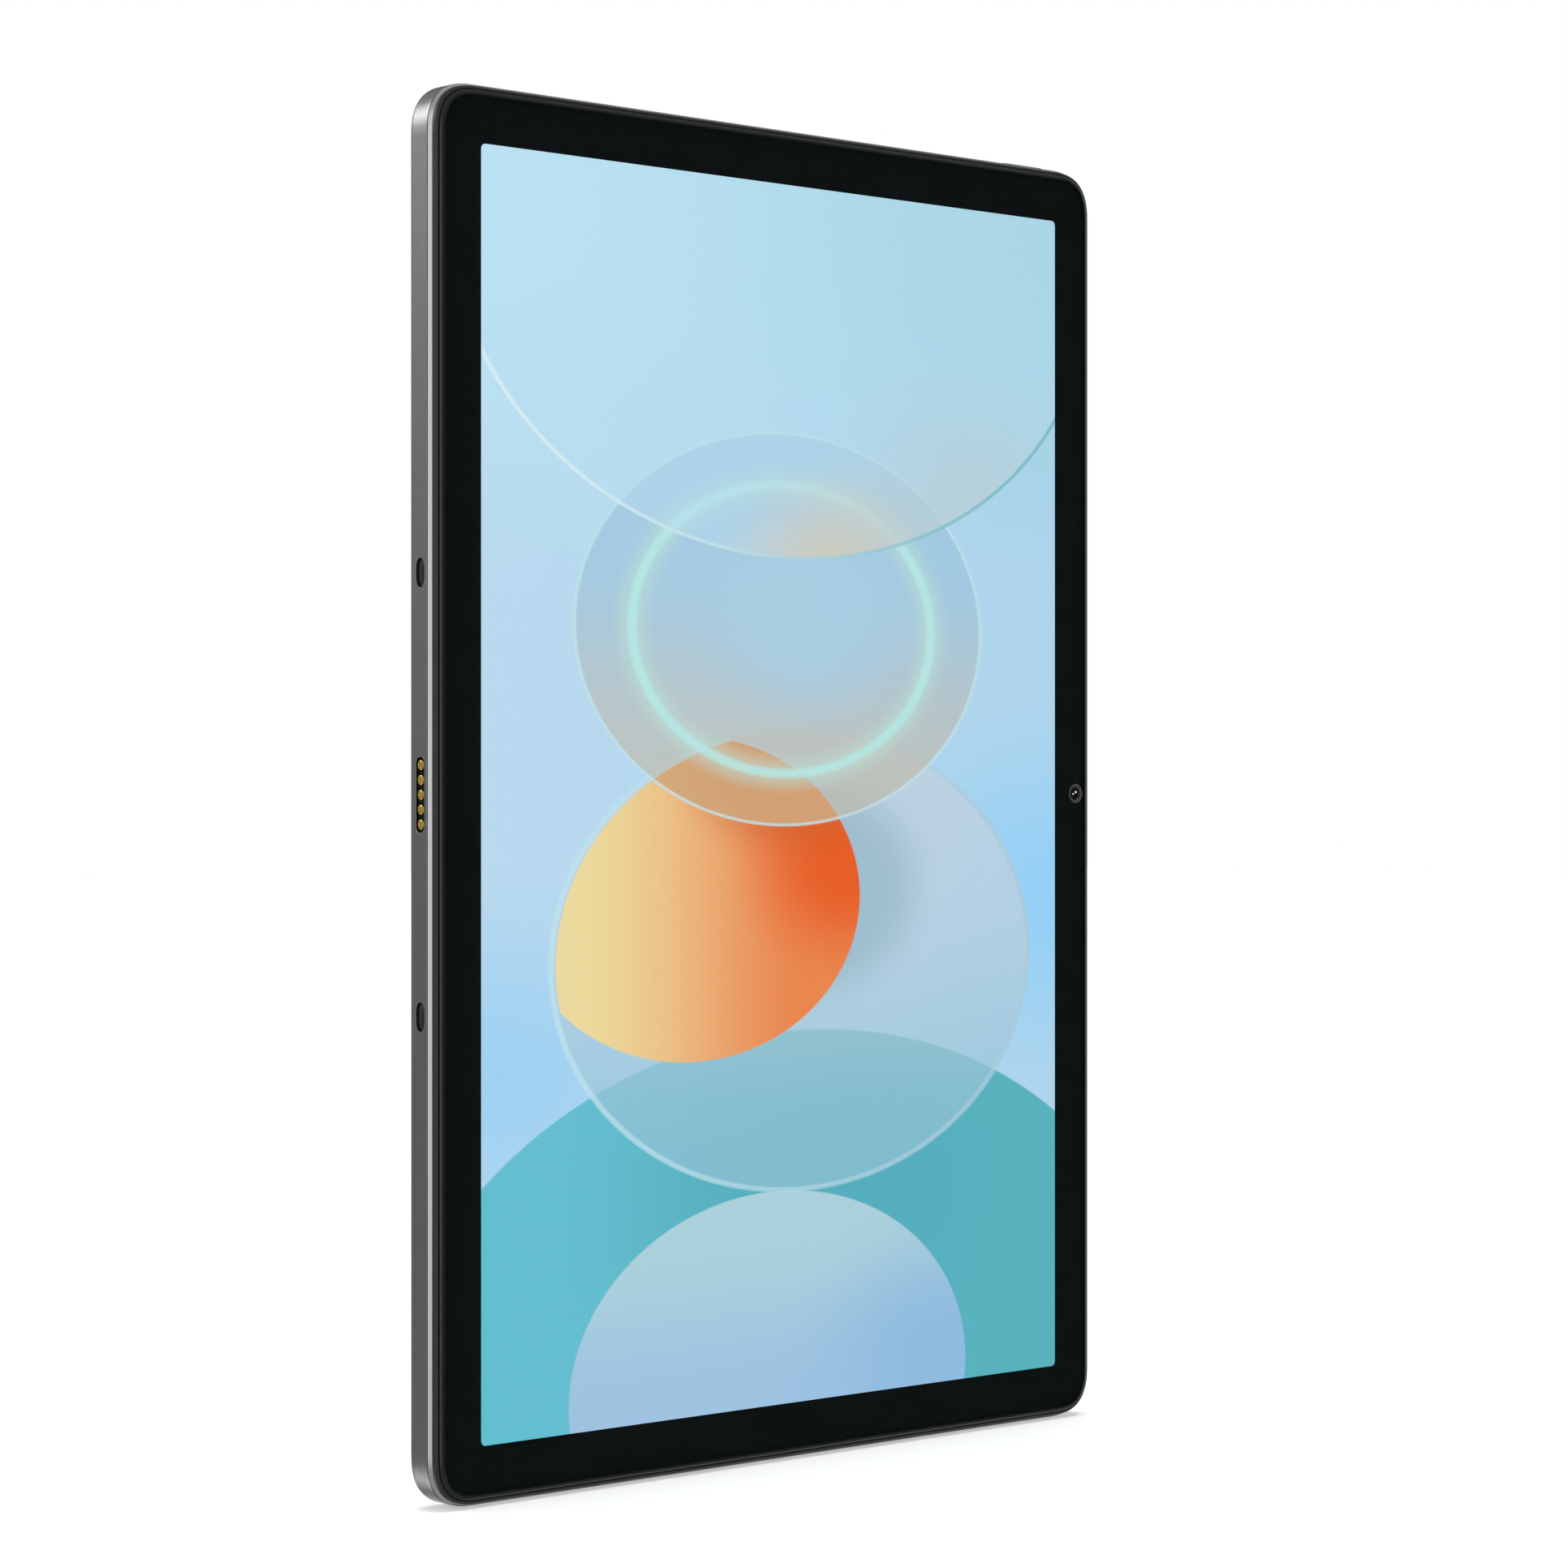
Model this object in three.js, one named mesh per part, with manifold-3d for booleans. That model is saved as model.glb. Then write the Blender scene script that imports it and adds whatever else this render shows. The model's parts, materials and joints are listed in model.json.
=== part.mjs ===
// Tablet computer with an 11 inch display, standing upright on a short edge.
// Units are millimetres. +X points right and -Y towards the person who looks at the display, +Z is up
// along the long side. The origin is the middle of the bottom of the bounding box.
import * as THREE from 'three';
import { mergeVertices } from 'three/addons/utils/BufferGeometryUtils.js';
import Module from 'manifold-3d';

const wasm = await Module();
wasm.setup();

// ---- Driving dimensions ----
const WIDTH = 169.4;
const HEIGHT = 258.7;
const CORNER = 8.2;
const THICKNESS = 8.3; // display face to back face
const CAMERA_RISE = 0.9; // how far the rear camera stands proud of the back
const DISPLAY_WIDTH = 151;
const DISPLAY_HEIGHT = 240;
const CORNER_STEPS = 10;

// ---- Levels across the thickness, from the display face (-Y) to the back (+Y) ----
const FRONT = -(THICKNESS + CAMERA_RISE) / 2;
const BACK = FRONT + THICKNESS;
const GLASS_BACK = FRONT + 0.7;
const RIM_SHELF = FRONT + 0.8;
const RIM_BASE = FRONT + 1.5;
const FRAME_TOP = FRONT + 1.57;
const CHAMFER_FOOT = FRONT + 2.35;
const WALL_TOP = FRONT + 2.55;
const PLATE_FRONT = FRONT + 2.5;
const PLATE_BACK = FRONT + 3.0;
const BOARD_FRONT = PLATE_BACK + 0.2;
const BOARD_BACK = BOARD_FRONT + 0.7;
const BACK_ROUND = 1.45;
const FLOOR = BACK - 0.9;
const PORT_Y = (WALL_TOP + BACK - BACK_ROUND) / 2; // middle of the flat side

// ---- Distances in from the outline ----
const WALL = 1.8;
const PLATE_EDGE = 2.0;
const FRAME_INNER = 2.7;
const RIM_INNER = 2.3;
const RIM_LIP = 1.0;
const GLASS_EDGE = 1.3;

// ---- Places along the outline ----
const MID_Z = HEIGHT / 2;
const RIGHT = WIDTH / 2;
const FIT = 0.3; // clearance between a moving or set-in piece and its hole
const SPEAKER_X = 44;
const SPEAKER_SLOTS = 4;
const SPEAKER_PITCH = 7.6;
const POWER = { x: 68, length: 12, width: 2.4, proud: 0.4 };
const ROCKER = { z: 228, length: 22, width: 2.4, proud: 0.4, switchOffset: 8 };
const TRAY = { z: 196, length: 14.6, width: 2.2, depth: 16 };
const POGO = { length: 13.75, width: 2.46, pitch: 2.69, pad: 0.96, count: 5 };
const LOCATING = { offset: 40.2, length: 5.4, width: 2.5 };
const FRONT_CAMERA_X = RIGHT - 4.5;
const REAR_CAMERA = { x: 65, z: 235, radius: 8.5 };
const FLASH = { x: 65, z: 219, radius: 2.5 };
const USB = { length: 8.94, width: 3.2, wall: 0.3, depth: 7.3 };
const MICROPHONE = { hole: 0.5, sideZ: 150 };
const SCREW_HOLE = 0.9;
const MAINBOARD_SCREWS = [[-34, 192], [-34, 230], [53, 230], [60, 190]];
const USB_BOARD_SCREWS = [[-22, 17], [22, 17]];

// ---- Materials ----
function material(color, roughness, metalness, extra = {}) {
  return new THREE.MeshStandardMaterial({ color, roughness, metalness, ...extra });
}

const LOOKS = {
  anodised: () => material('#6f7173', 0.42, 1.0),
  brightEdge: () => material('#c3c4c8', 0.2, 1.0),
  blackPlastic: () => material('#1b1b1d', 0.35, 0.0),
  glass: () => material('#0f1415', 0.06, 0.0, { transparent: true, opacity: 0.35 }),
  display: () => material('#a9d5ee', 0.15, 0.0),
  diffuser: () => material('#e6e8ea', 0.7, 0.0),
  pouch: () => material('#3a3c40', 0.5, 0.2),
  board: () => material('#123c2b', 0.55, 0.0),
  tin: () => material('#b9bbbd', 0.35, 1.0),
  gold: () => material('#c9a35a', 0.28, 1.0),
  polyimide: () => material('#8a5a1e', 0.5, 0.0),
  lens: () => material('#0a0c12', 0.05, 0.0, { transparent: true, opacity: 0.35 }),
  diffusingLens: () => material('#e9e2c4', 0.3, 0.0),
  meshCloth: () => material('#26272a', 0.85, 0.0),
  magnet: () => material('#9a9ca0', 0.3, 1.0),
  screw: () => material('#4b4c50', 0.35, 1.0),
};

// ---- Shapes ----
// Points of the tablet's outline, shrunk by inset on every side, as [x, z] pairs.
function outline(inset) {
  const points = [];
  for (let corner = 0; corner < 4; corner += 1) {
    const signX = corner === 0 || corner === 3 ? 1 : -1;
    const signZ = corner < 2 ? 1 : -1;
    const centreX = signX * (WIDTH / 2 - CORNER);
    const centreZ = MID_Z + signZ * (HEIGHT / 2 - CORNER);
    for (let step = 0; step <= CORNER_STEPS; step += 1) {
      const angle = (corner + step / CORNER_STEPS) * Math.PI / 2;
      const radius = CORNER - inset;
      points.push([centreX + radius * Math.cos(angle), centreZ + radius * Math.sin(angle)]);
    }
  }
  return points;
}

// Carries a profile of [inset, y] points round the outline. The profile runs from the display side to
// the back on its outer face. A ring closes on itself; otherwise flat faces close both ends.
function sweep(profile, isRing) {
  const positions = [];
  for (const [inset, y] of profile) {
    for (const [x, z] of outline(inset)) positions.push(x, y, z);
  }
  const size = outline(0).length;
  const index = [];
  const rows = isRing ? profile.length : profile.length - 1;
  for (let row = 0; row < rows; row += 1) {
    const nextRow = (row + 1) % profile.length;
    for (let i = 0; i < size; i += 1) {
      const j = (i + 1) % size;
      index.push(row * size + i, nextRow * size + i, nextRow * size + j);
      index.push(row * size + i, nextRow * size + j, row * size + j);
    }
  }
  if (!isRing) {
    const last = profile.length - 1;
    for (const row of [0, last]) {
      const centre = positions.length / 3;
      positions.push(0, profile[row][1], MID_Z);
      for (let i = 0; i < size; i += 1) {
        const edge = [row * size + i, row * size + (i + 1) % size];
        if (row === last) edge.reverse();
        index.push(centre, ...edge);
      }
    }
  }
  const geometry = new THREE.BufferGeometry();
  geometry.setAttribute('position', new THREE.Float32BufferAttribute(positions, 3));
  geometry.setIndex(index);
  geometry.computeVertexNormals();
  return geometry;
}

// A slot outline with round ends, its length along the shape's x.
function slotShape(length, width) {
  const half = (length - width) / 2;
  const shape = new THREE.Shape();
  shape.absarc(half, 0, width / 2, -Math.PI / 2, Math.PI / 2, false);
  shape.absarc(-half, 0, width / 2, Math.PI / 2, Math.PI * 1.5, false);
  shape.closePath();
  return shape;
}

// Extrudes a shape along x, y or z, centred on the origin. Along x the shape's length runs along z;
// along y the shape's height runs along z; along z the shape keeps its own x and y.
function extrudeAlong(axis, shape, depth, curveSegments = 6) {
  const geometry = new THREE.ExtrudeGeometry(shape, { depth, bevelEnabled: false, curveSegments });
  geometry.translate(0, 0, -depth / 2);
  if (axis === 'x') geometry.rotateY(Math.PI / 2);
  if (axis === 'y') geometry.rotateX(Math.PI / 2);
  return geometry;
}

function slot(axis, length, width, depth, x, y, z) {
  return extrudeAlong(axis, slotShape(length, width), depth).translate(x, y, z);
}

// A box given by its two ends along each axis.
function box([x0, x1], [y0, y1], [z0, z1]) {
  const geometry = new THREE.BoxGeometry(x1 - x0, y1 - y0, z1 - z0);
  return geometry.translate((x0 + x1) / 2, (y0 + y1) / 2, (z0 + z1) / 2);
}

// A turned piece whose axis runs along +Y through (x, z). The profile holds [radius, y] points, and its
// outer face runs from the display side to the back.
function turned(profile, x, z, segments = 24) {
  const points = profile.map(([radius, y]) => new THREE.Vector2(radius, y));
  return new THREE.LatheGeometry(points, segments).translate(x, 0, z);
}

function disc(radius, y0, y1, x, z, segments = 24) {
  return turned([[0, y0], [radius, y0], [radius, y1], [0, y1]], x, z, segments);
}

// A flat plate cut from a list of [x, z] corners, with round holes, between two levels.
function board(corners, holes, y0, y1) {
  const shape = new THREE.Shape(corners.map(([x, z]) => new THREE.Vector2(x, z)));
  for (const [x, z] of holes) {
    const hole = new THREE.Path();
    hole.absarc(x, z, SCREW_HOLE, 0, Math.PI * 2, true);
    shape.holes.push(hole);
  }
  return extrudeAlong('y', shape, y1 - y0, 4).translate(0, (y0 + y1) / 2, 0);
}

// ---- Joining and cutting closed solids ----
function toSolid(geometry) {
  const bare = geometry.clone();
  bare.deleteAttribute('normal');
  bare.deleteAttribute('uv');
  const merged = mergeVertices(bare, 1e-5);
  const mesh = new wasm.Mesh({
    numProp: 3,
    vertProperties: Float32Array.from(merged.attributes.position.array),
    triVerts: Uint32Array.from(merged.index.array),
  });
  return new wasm.Manifold(mesh);
}

function toGeometry(solid) {
  const mesh = solid.getMesh();
  const geometry = new THREE.BufferGeometry();
  geometry.setAttribute('position', new THREE.BufferAttribute(Float32Array.from(mesh.vertProperties), 3));
  geometry.setIndex(new THREE.BufferAttribute(Uint32Array.from(mesh.triVerts), 1));
  geometry.computeVertexNormals();
  return geometry;
}

function cut(geometry, cutters) {
  return toGeometry(cutters.reduce((solid, cutter) => solid.subtract(toSolid(cutter)), toSolid(geometry)));
}

function join(first, ...others) {
  return toGeometry(others.reduce((solid, other) => solid.add(toSolid(other)), toSolid(first)));
}

// ---- The assembly ----
const tablet = new THREE.Group();

function add(name, look, geometry) {
  const mesh = new THREE.Mesh(geometry, LOOKS[look]());
  mesh.name = name;
  tablet.add(mesh);
}

// Places of the four speakers: a side along x and the short edge that each fires through.
const SPEAKERS = [];
for (const [edge, z, inward] of [['top', HEIGHT, -1], ['bottom', 0, 1]]) {
  for (const [side, x] of [['left', -SPEAKER_X], ['right', SPEAKER_X]]) {
    SPEAKERS.push({ name: `${edge}_${side}`, x, z, inward });
  }
}

// The rear housing is a tray. Its back edge is rounded and its wall is pierced for each port.
function rearHousing() {
  const profile = [[WALL + 0.6, FLOOR], [WALL, FLOOR - 0.6], [WALL, WALL_TOP], [0, WALL_TOP]];
  const roundSteps = 6;
  for (let step = 0; step <= roundSteps; step += 1) {
    const angle = step / roundSteps * Math.PI / 2;
    const inset = BACK_ROUND * (1 - Math.cos(angle));
    profile.push([inset, BACK - BACK_ROUND + BACK_ROUND * Math.sin(angle)]);
  }
  const through = 2 * WALL + 1;
  const cutters = [
    slot('z', USB.length + 2 * FIT, USB.width + 2 * FIT, through, 0, PORT_Y, 0),
    slot('z', POWER.length + 2 * FIT, POWER.width + 2 * FIT, through, POWER.x, PORT_Y, HEIGHT),
    slot('x', ROCKER.length + 2 * FIT, ROCKER.width + 2 * FIT, through, RIGHT, PORT_Y, ROCKER.z),
    slot('x', TRAY.length + 2 * FIT, TRAY.width + 2 * FIT, through, RIGHT, PORT_Y, TRAY.z),
    slot('x', POGO.length, POGO.width, through, -RIGHT, 0, MID_Z),
    slot('z', 2 * MICROPHONE.hole, 2 * MICROPHONE.hole, through, 0, PORT_Y, HEIGHT),
    slot('x', 2 * MICROPHONE.hole, 2 * MICROPHONE.hole, through, RIGHT, PORT_Y, MICROPHONE.sideZ),
    disc(REAR_CAMERA.radius - 2.2, FLOOR - 1, BACK + 1, REAR_CAMERA.x, REAR_CAMERA.z),
    disc(FLASH.radius + FIT, FLOOR - 1, BACK + 1, FLASH.x, FLASH.z, 16),
  ];
  for (const sign of [-1, 1]) {
    const z = MID_Z + sign * LOCATING.offset;
    cutters.push(slot('x', LOCATING.length, LOCATING.width, through, -RIGHT, 0, z));
  }
  for (const { x, z } of SPEAKERS) {
    for (let i = 0; i < SPEAKER_SLOTS; i += 1) {
      const offset = (i - (SPEAKER_SLOTS - 1) / 2) * SPEAKER_PITCH;
      cutters.push(slot('z', 6, 1.3, through, x + offset, PORT_Y, z));
    }
  }
  return cut(sweep(profile, false), cutters);
}
add('rear_housing', 'anodised', rearHousing());

// The mid frame carries the bright chamfered edge and, inside it, the plate that backs the display.
const midFrameProfile = [
  [FRAME_INNER, PLATE_FRONT], [FRAME_INNER, FRAME_TOP], [0.45, FRAME_TOP],
  [0, CHAMFER_FOOT], [PLATE_EDGE, CHAMFER_FOOT], [PLATE_EDGE, PLATE_BACK],
];
const plateHoles = [...MAINBOARD_SCREWS, ...USB_BOARD_SCREWS].map(
  ([x, z]) => disc(SCREW_HOLE, PLATE_FRONT - 1, PLATE_BACK + 1, x, z, 12),
);
plateHoles.push(disc(1.7, PLATE_FRONT - 1, PLATE_BACK + 1, FRONT_CAMERA_X, MID_Z, 16));
add('mid_frame', 'brightEdge', cut(sweep(midFrameProfile, false), plateHoles));

add('front_rim', 'blackPlastic', sweep([
  [RIM_LIP, FRONT + 0.5], [0.85, FRONT + 0.56], [0.62, FRONT + 0.95], [0.5, RIM_BASE],
  [RIM_INNER, RIM_BASE], [RIM_INNER, RIM_SHELF], [RIM_LIP, RIM_SHELF],
], true));

add('cover_glass', 'glass', sweep([
  [2.1, FRONT], [1.68, FRONT + 0.06], [1.42, FRONT + 0.2], [GLASS_EDGE, FRONT + 0.42],
  [GLASS_EDGE, GLASS_BACK],
], false));

// The display sits between the cover glass and the mid frame's plate.
const halfDisplay = [-DISPLAY_WIDTH / 2, DISPLAY_WIDTH / 2];
const displayZ = [MID_Z - DISPLAY_HEIGHT / 2, MID_Z + DISPLAY_HEIGHT / 2];
add('display_panel', 'display', box(halfDisplay, [FRONT + 0.75, FRONT + 1.5], displayZ));
add('backlight_unit', 'diffuser', box(halfDisplay, [FRONT + 1.55, FRONT + 2.4], displayZ));

// Two pouch cells share the middle of the tray, with their protection board above them.
const CELL = { width: 60, height: 118, gap: 4, bottom: 59 };
const cellY = [PLATE_BACK + 0.2, FLOOR - 0.6];
for (const [side, sign] of [['left', -1], ['right', 1]]) {
  const near = sign * CELL.gap / 2;
  const far = sign * (CELL.gap / 2 + CELL.width);
  const cellX = [Math.min(near, far), Math.max(near, far)];
  add(`battery_cell_${side}`, 'pouch', box(cellX, cellY, [CELL.bottom, CELL.bottom + CELL.height]));
}
const batteryTop = CELL.bottom + CELL.height;
add('battery_board', 'board', box([-50, 50], [-0.6, 0.4], [batteryTop + 1, batteryTop + 6]));
add('battery_lead', 'polyimide', box([20, 32], [-0.45, -0.25], [batteryTop + 6.3, batteryTop + 17]));

// Mainboard with its shielding cans. Its leg reaches under the card tray.
add('mainboard', 'board', board([
  [-38, 188], [81, 188], [81, 206], [57, 206], [57, 234], [-38, 234],
], MAINBOARD_SCREWS, BOARD_FRONT, BOARD_BACK));
const CANS = {
  processor_shield: { x: [-27, 7], z: [198, 226] },
  radio_shield: { x: [13, 35], z: [200, 222] },
  power_shield: { x: [38, 50], z: [198, 224] },
};
for (const [name, can] of Object.entries(CANS)) {
  add(name, 'tin', box(can.x, [BOARD_BACK + 0.05, BOARD_BACK + 1.85], can.z));
}

// Small board that carries the charging socket, notched round it.
const socketHalf = USB.length / 2 + FIT;
add('usb_board', 'board', board([
  [-26, 3], [-socketHalf, 3], [-socketHalf, 8.2], [socketHalf, 8.2], [socketHalf, 3],
  [26, 3], [26, 21], [-26, 21],
], USB_BOARD_SCREWS, BOARD_FRONT, BOARD_BACK));

const socketZ = FIT + USB.depth / 2;
const socketHole = [USB.length - 2 * USB.wall, USB.width - 2 * USB.wall];
add('usb_c_shell', 'tin', cut(
  slot('z', USB.length, USB.width, USB.depth, 0, PORT_Y, socketZ),
  [slot('z', ...socketHole, USB.depth + 2, 0, PORT_Y, socketZ)],
));
add('usb_c_tongue', 'blackPlastic', join(
  box([-3.35, 3.35], [PORT_Y - 0.35, PORT_Y + 0.35], [1.2, 7]),
  box([-3.7, 3.7], [PORT_Y - 0.9, PORT_Y + 0.9], [6.5, 7.5]),
));

// Ribbon cable that crosses behind the cells and bends down to a board at each end. Its section is
// drawn with z across and y up.
function mainFlex() {
  const thickness = 0.2;
  const route = [[14, BOARD_BACK + 0.1], [46, BOARD_BACK + 0.1], [54, FLOOR - 0.4],
    [batteryTop + 1, FLOOR - 0.4], [batteryTop + 9, BOARD_BACK + 0.1], [194, BOARD_BACK + 0.1]];
  const far = route.map(([z, y]) => [z, y + thickness]).reverse();
  const shape = new THREE.Shape([...route, ...far].map(([z, y]) => new THREE.Vector2(-z, y)));
  return extrudeAlong('x', shape, 14);
}
add('main_flex', 'polyimide', mainFlex().translate(-12, 0, 0));

// Screws clamp both boards to the plate.
[...MAINBOARD_SCREWS, ...USB_BOARD_SCREWS].forEach(([x, z], i) => {
  const shank = SCREW_HOLE - FIT;
  add(`board_screw_${i + 1}`, 'screw', turned([
    [0, PLATE_FRONT + 0.1], [shank, PLATE_FRONT + 0.1], [shank, BOARD_BACK + 0.05],
    [1.25, BOARD_BACK + 0.05], [1.25, BOARD_BACK + 0.55], [0, BOARD_BACK + 0.55],
  ], x, z, 12));
});

// Dock contacts: an insulator in the left side with flush pads, each on its own pin.
const padHoles = [];
const padProfile = [[0, 0.1], [POGO.pad, 0.1], [POGO.pad, 0.35], [0.35, 0.35], [0.35, 3], [0, 3]];
for (let i = 0; i < POGO.count; i += 1) {
  const z = MID_Z + (i - (POGO.count - 1) / 2) * POGO.pitch;
  const pad = turned(padProfile, 0, 0, 16).rotateZ(-Math.PI / 2).translate(-RIGHT, 0, z);
  add(`pogo_pad_${i + 1}`, 'gold', pad);
  padHoles.push(disc(0.6, -1, 5, 0, 0, 12).rotateZ(-Math.PI / 2).translate(-RIGHT, 0, z));
}
add('pogo_insulator', 'blackPlastic', cut(
  slot('x', POGO.length - 0.1, POGO.width - 0.1, 2.2, -RIGHT + 0.4 + 1.1, 0, MID_Z), padHoles,
));

// Cups that line the two locating slots, and the magnets that hold a keyboard.
for (const [name, sign] of [['upper', 1], ['lower', -1]]) {
  const z = MID_Z + sign * LOCATING.offset;
  add(`locating_liner_${name}`, 'blackPlastic', cut(
    slot('x', LOCATING.length - 0.1, LOCATING.width - 0.1, 2.4, -RIGHT + 0.1 + 1.2, 0, z),
    [slot('x', LOCATING.length - 0.7, LOCATING.width - 0.7, 2.4, -RIGHT - 0.3 + 1.2, 0, z)],
  ));
  const magnetZ = MID_Z + sign * LOCATING.offset / 2;
  const magnetX = [-RIGHT + WALL + FIT, -RIGHT + WALL + FIT + 2.4];
  add(`dock_magnet_${name}`, 'magnet', box(magnetX, [-1.3, 2.1], [magnetZ - 9, magnetZ + 9]));
}

// Front camera, behind the glass in the right-hand border.
add('front_camera_ring', 'blackPlastic', turned([
  [1.42, GLASS_BACK + 0.05], [2.06, GLASS_BACK + 0.05], [2.06, GLASS_BACK + 0.2],
  [1.42, GLASS_BACK + 0.2], [1.42, GLASS_BACK + 0.05],
], FRONT_CAMERA_X, MID_Z, 24));
add('front_camera_lens', 'lens', disc(1.3, GLASS_BACK + 0.05, GLASS_BACK + 0.3, FRONT_CAMERA_X, MID_Z));
add('front_camera_module', 'blackPlastic', join(
  disc(1.4, GLASS_BACK + 0.35, PLATE_BACK + 0.6, FRONT_CAMERA_X, MID_Z),
  box([FRONT_CAMERA_X - 3.2, FRONT_CAMERA_X + 1.8], [PLATE_BACK + 0.1, 1.1], [MID_Z - 2.5, MID_Z + 2.5]),
));

// Rear camera: a raised ring in the back, its lens, the module behind it and the flash below.
const ringOuter = REAR_CAMERA.radius;
add('rear_camera_bezel', 'anodised', turned([
  [4, FLOOR + 0.1], [ringOuter - 2.5, FLOOR + 0.1], [ringOuter - 2.5, BACK + 0.05],
  [ringOuter, BACK + 0.05], [ringOuter, BACK + 0.65], [ringOuter - 0.25, BACK + CAMERA_RISE],
  [4.9, BACK + CAMERA_RISE], [4.7, BACK + 0.7], [4.7, BACK + 0.15], [4, BACK + 0.15], [4, FLOOR + 0.1],
], REAR_CAMERA.x, REAR_CAMERA.z, 36));
add('rear_camera_lens', 'lens', disc(4.5, BACK + 0.25, BACK + 0.75, REAR_CAMERA.x, REAR_CAMERA.z));
add('rear_camera_module', 'blackPlastic', join(
  box([REAR_CAMERA.x - 5.5, REAR_CAMERA.x + 5.5], [-1.4, FLOOR - 0.1], [REAR_CAMERA.z - 5.5, REAR_CAMERA.z + 5.5]),
  disc(3.6, FLOOR - 1, BACK, REAR_CAMERA.x, REAR_CAMERA.z),
));
add('flash_lens', 'diffusingLens', disc(FLASH.radius, FLOOR + 0.1, BACK, FLASH.x, FLASH.z, 16));
const flashX = [FLASH.x - 1.1, FLASH.x + 1.1];
add('flash_led', 'diffusingLens', box(flashX, [2, FLOOR - 0.1], [FLASH.z - 1.1, FLASH.z + 1.1]));

// Power button in the top edge. Its flange stays behind the wall and presses the switch.
const FLANGE = { from: WALL + 0.4, to: WALL + 0.9, extra: 2, width: 2.6 };
add('power_button', 'anodised', join(
  slot('z', POWER.length, POWER.width, FLANGE.from + POWER.proud, POWER.x, PORT_Y,
    HEIGHT + (POWER.proud - FLANGE.from) / 2),
  box([POWER.x - POWER.length / 2 - FLANGE.extra / 2, POWER.x + POWER.length / 2 + FLANGE.extra / 2],
    [PORT_Y - FLANGE.width / 2, PORT_Y + FLANGE.width / 2],
    [HEIGHT - FLANGE.to, HEIGHT - FLANGE.from + 0.1]),
));
const SWITCH = { from: FLANGE.to + 0.4, to: FLANGE.to + 2, half: 2, halfY: 0.8 };
add('power_switch', 'tin', box([POWER.x - SWITCH.half, POWER.x + SWITCH.half],
  [PORT_Y - SWITCH.halfY, PORT_Y + SWITCH.halfY], [HEIGHT - SWITCH.to, HEIGHT - SWITCH.from]));

// Volume rocker in the right side, tilting about its middle onto a switch at each end.
add('volume_rocker', 'anodised', join(
  slot('x', ROCKER.length, ROCKER.width, FLANGE.from + ROCKER.proud,
    RIGHT + (ROCKER.proud - FLANGE.from) / 2, PORT_Y, ROCKER.z),
  box([RIGHT - FLANGE.to, RIGHT - FLANGE.from + 0.1],
    [PORT_Y - FLANGE.width / 2, PORT_Y + FLANGE.width / 2],
    [ROCKER.z - ROCKER.length / 2 - FLANGE.extra / 2, ROCKER.z + ROCKER.length / 2 + FLANGE.extra / 2]),
));
for (const [name, sign] of [['up', 1], ['down', -1]]) {
  const z = ROCKER.z + sign * ROCKER.switchOffset;
  add(`volume_switch_${name}`, 'tin', box([RIGHT - SWITCH.to, RIGHT - SWITCH.from],
    [PORT_Y - SWITCH.halfY, PORT_Y + SWITCH.halfY], [z - SWITCH.half, z + SWITCH.half]));
}

// Card tray: a flush face with an eject hole, and a bed with a pocket for the card. The reader is a
// channel over the bed, open towards the side of the tablet.
const faceDepth = 1.45;
const bed = { from: TRAY.z - 6.8, to: TRAY.z + 5.4, front: -0.4, back: 0.8 };
const bedX = [RIGHT - faceDepth - TRAY.depth, RIGHT - faceDepth + 0.1];
add('card_tray', 'anodised', cut(join(
  slot('x', TRAY.length, TRAY.width, faceDepth, RIGHT - 0.05 - faceDepth / 2, PORT_Y, TRAY.z),
  box(bedX, [bed.front, bed.back], [bed.from, bed.to]),
), [
  box([bedX[0] + 0.5, bedX[0] + 15.5], [bed.front + 0.4, bed.back + 1], [bed.from + 0.5, bed.to - 0.5]),
  slot('x', 0.9, 0.9, 4, RIGHT - 0.8, PORT_Y, TRAY.z + 6.35),
]));
const readerX = [bedX[0] - 0.6, RIGHT - WALL - 1.2];
const railY = [BOARD_BACK + 0.05, bed.back + 0.6];
add('card_reader', 'tin', join(
  box(readerX, [bed.back + 0.3, bed.back + 0.6], [bed.from - 0.9, bed.to + 0.9]),
  box(readerX, railY, [bed.from - 0.9, bed.from - 0.4]),
  box(readerX, railY, [bed.to + 0.4, bed.to + 0.9]),
));

// Speakers fire through slots in the short edges, each behind a strip of mesh.
for (const { name, x, z, inward } of SPEAKERS) {
  const level = (from, to) => [z + inward * from, z + inward * to].sort((a, b) => a - b);
  add(`speaker_${name}`, 'blackPlastic', box([x - 15, x + 15], [-1.3, 2.1], level(2.6, 15.6)));
  add(`speaker_mesh_${name}`, 'meshCloth', box([x - 15, x + 15], [-0.9, 1.1], level(2, 2.3)));
}

// Microphones behind their pinholes, and the wireless antenna's carrier in the top left corner.
const pinY = [PORT_Y - 1, PORT_Y + 0.8];
add('microphone_top', 'tin', box([-1.75, 1.75], pinY, [HEIGHT - WALL - 1.4, HEIGHT - WALL - 0.2]));
add('microphone_side', 'tin', box([RIGHT - WALL - 1.4, RIGHT - WALL - 0.2], pinY,
  [MICROPHONE.sideZ - 1.75, MICROPHONE.sideZ + 1.75]));
add('antenna_carrier', 'blackPlastic', box([-77, -62], [-1.2, 2], [HEIGHT - 12, HEIGHT - 4]));

export default tablet;
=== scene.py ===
"""Looks of the tablet computer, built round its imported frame.

Lengths are in metres, and MM turns millimetres into them. The display faces -y, and the tablet stands on
z = 0.
"""
import json
from math import cos, pi, radians, sin, tan

import bmesh
import bpy
from mathutils import Matrix, Vector


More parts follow.
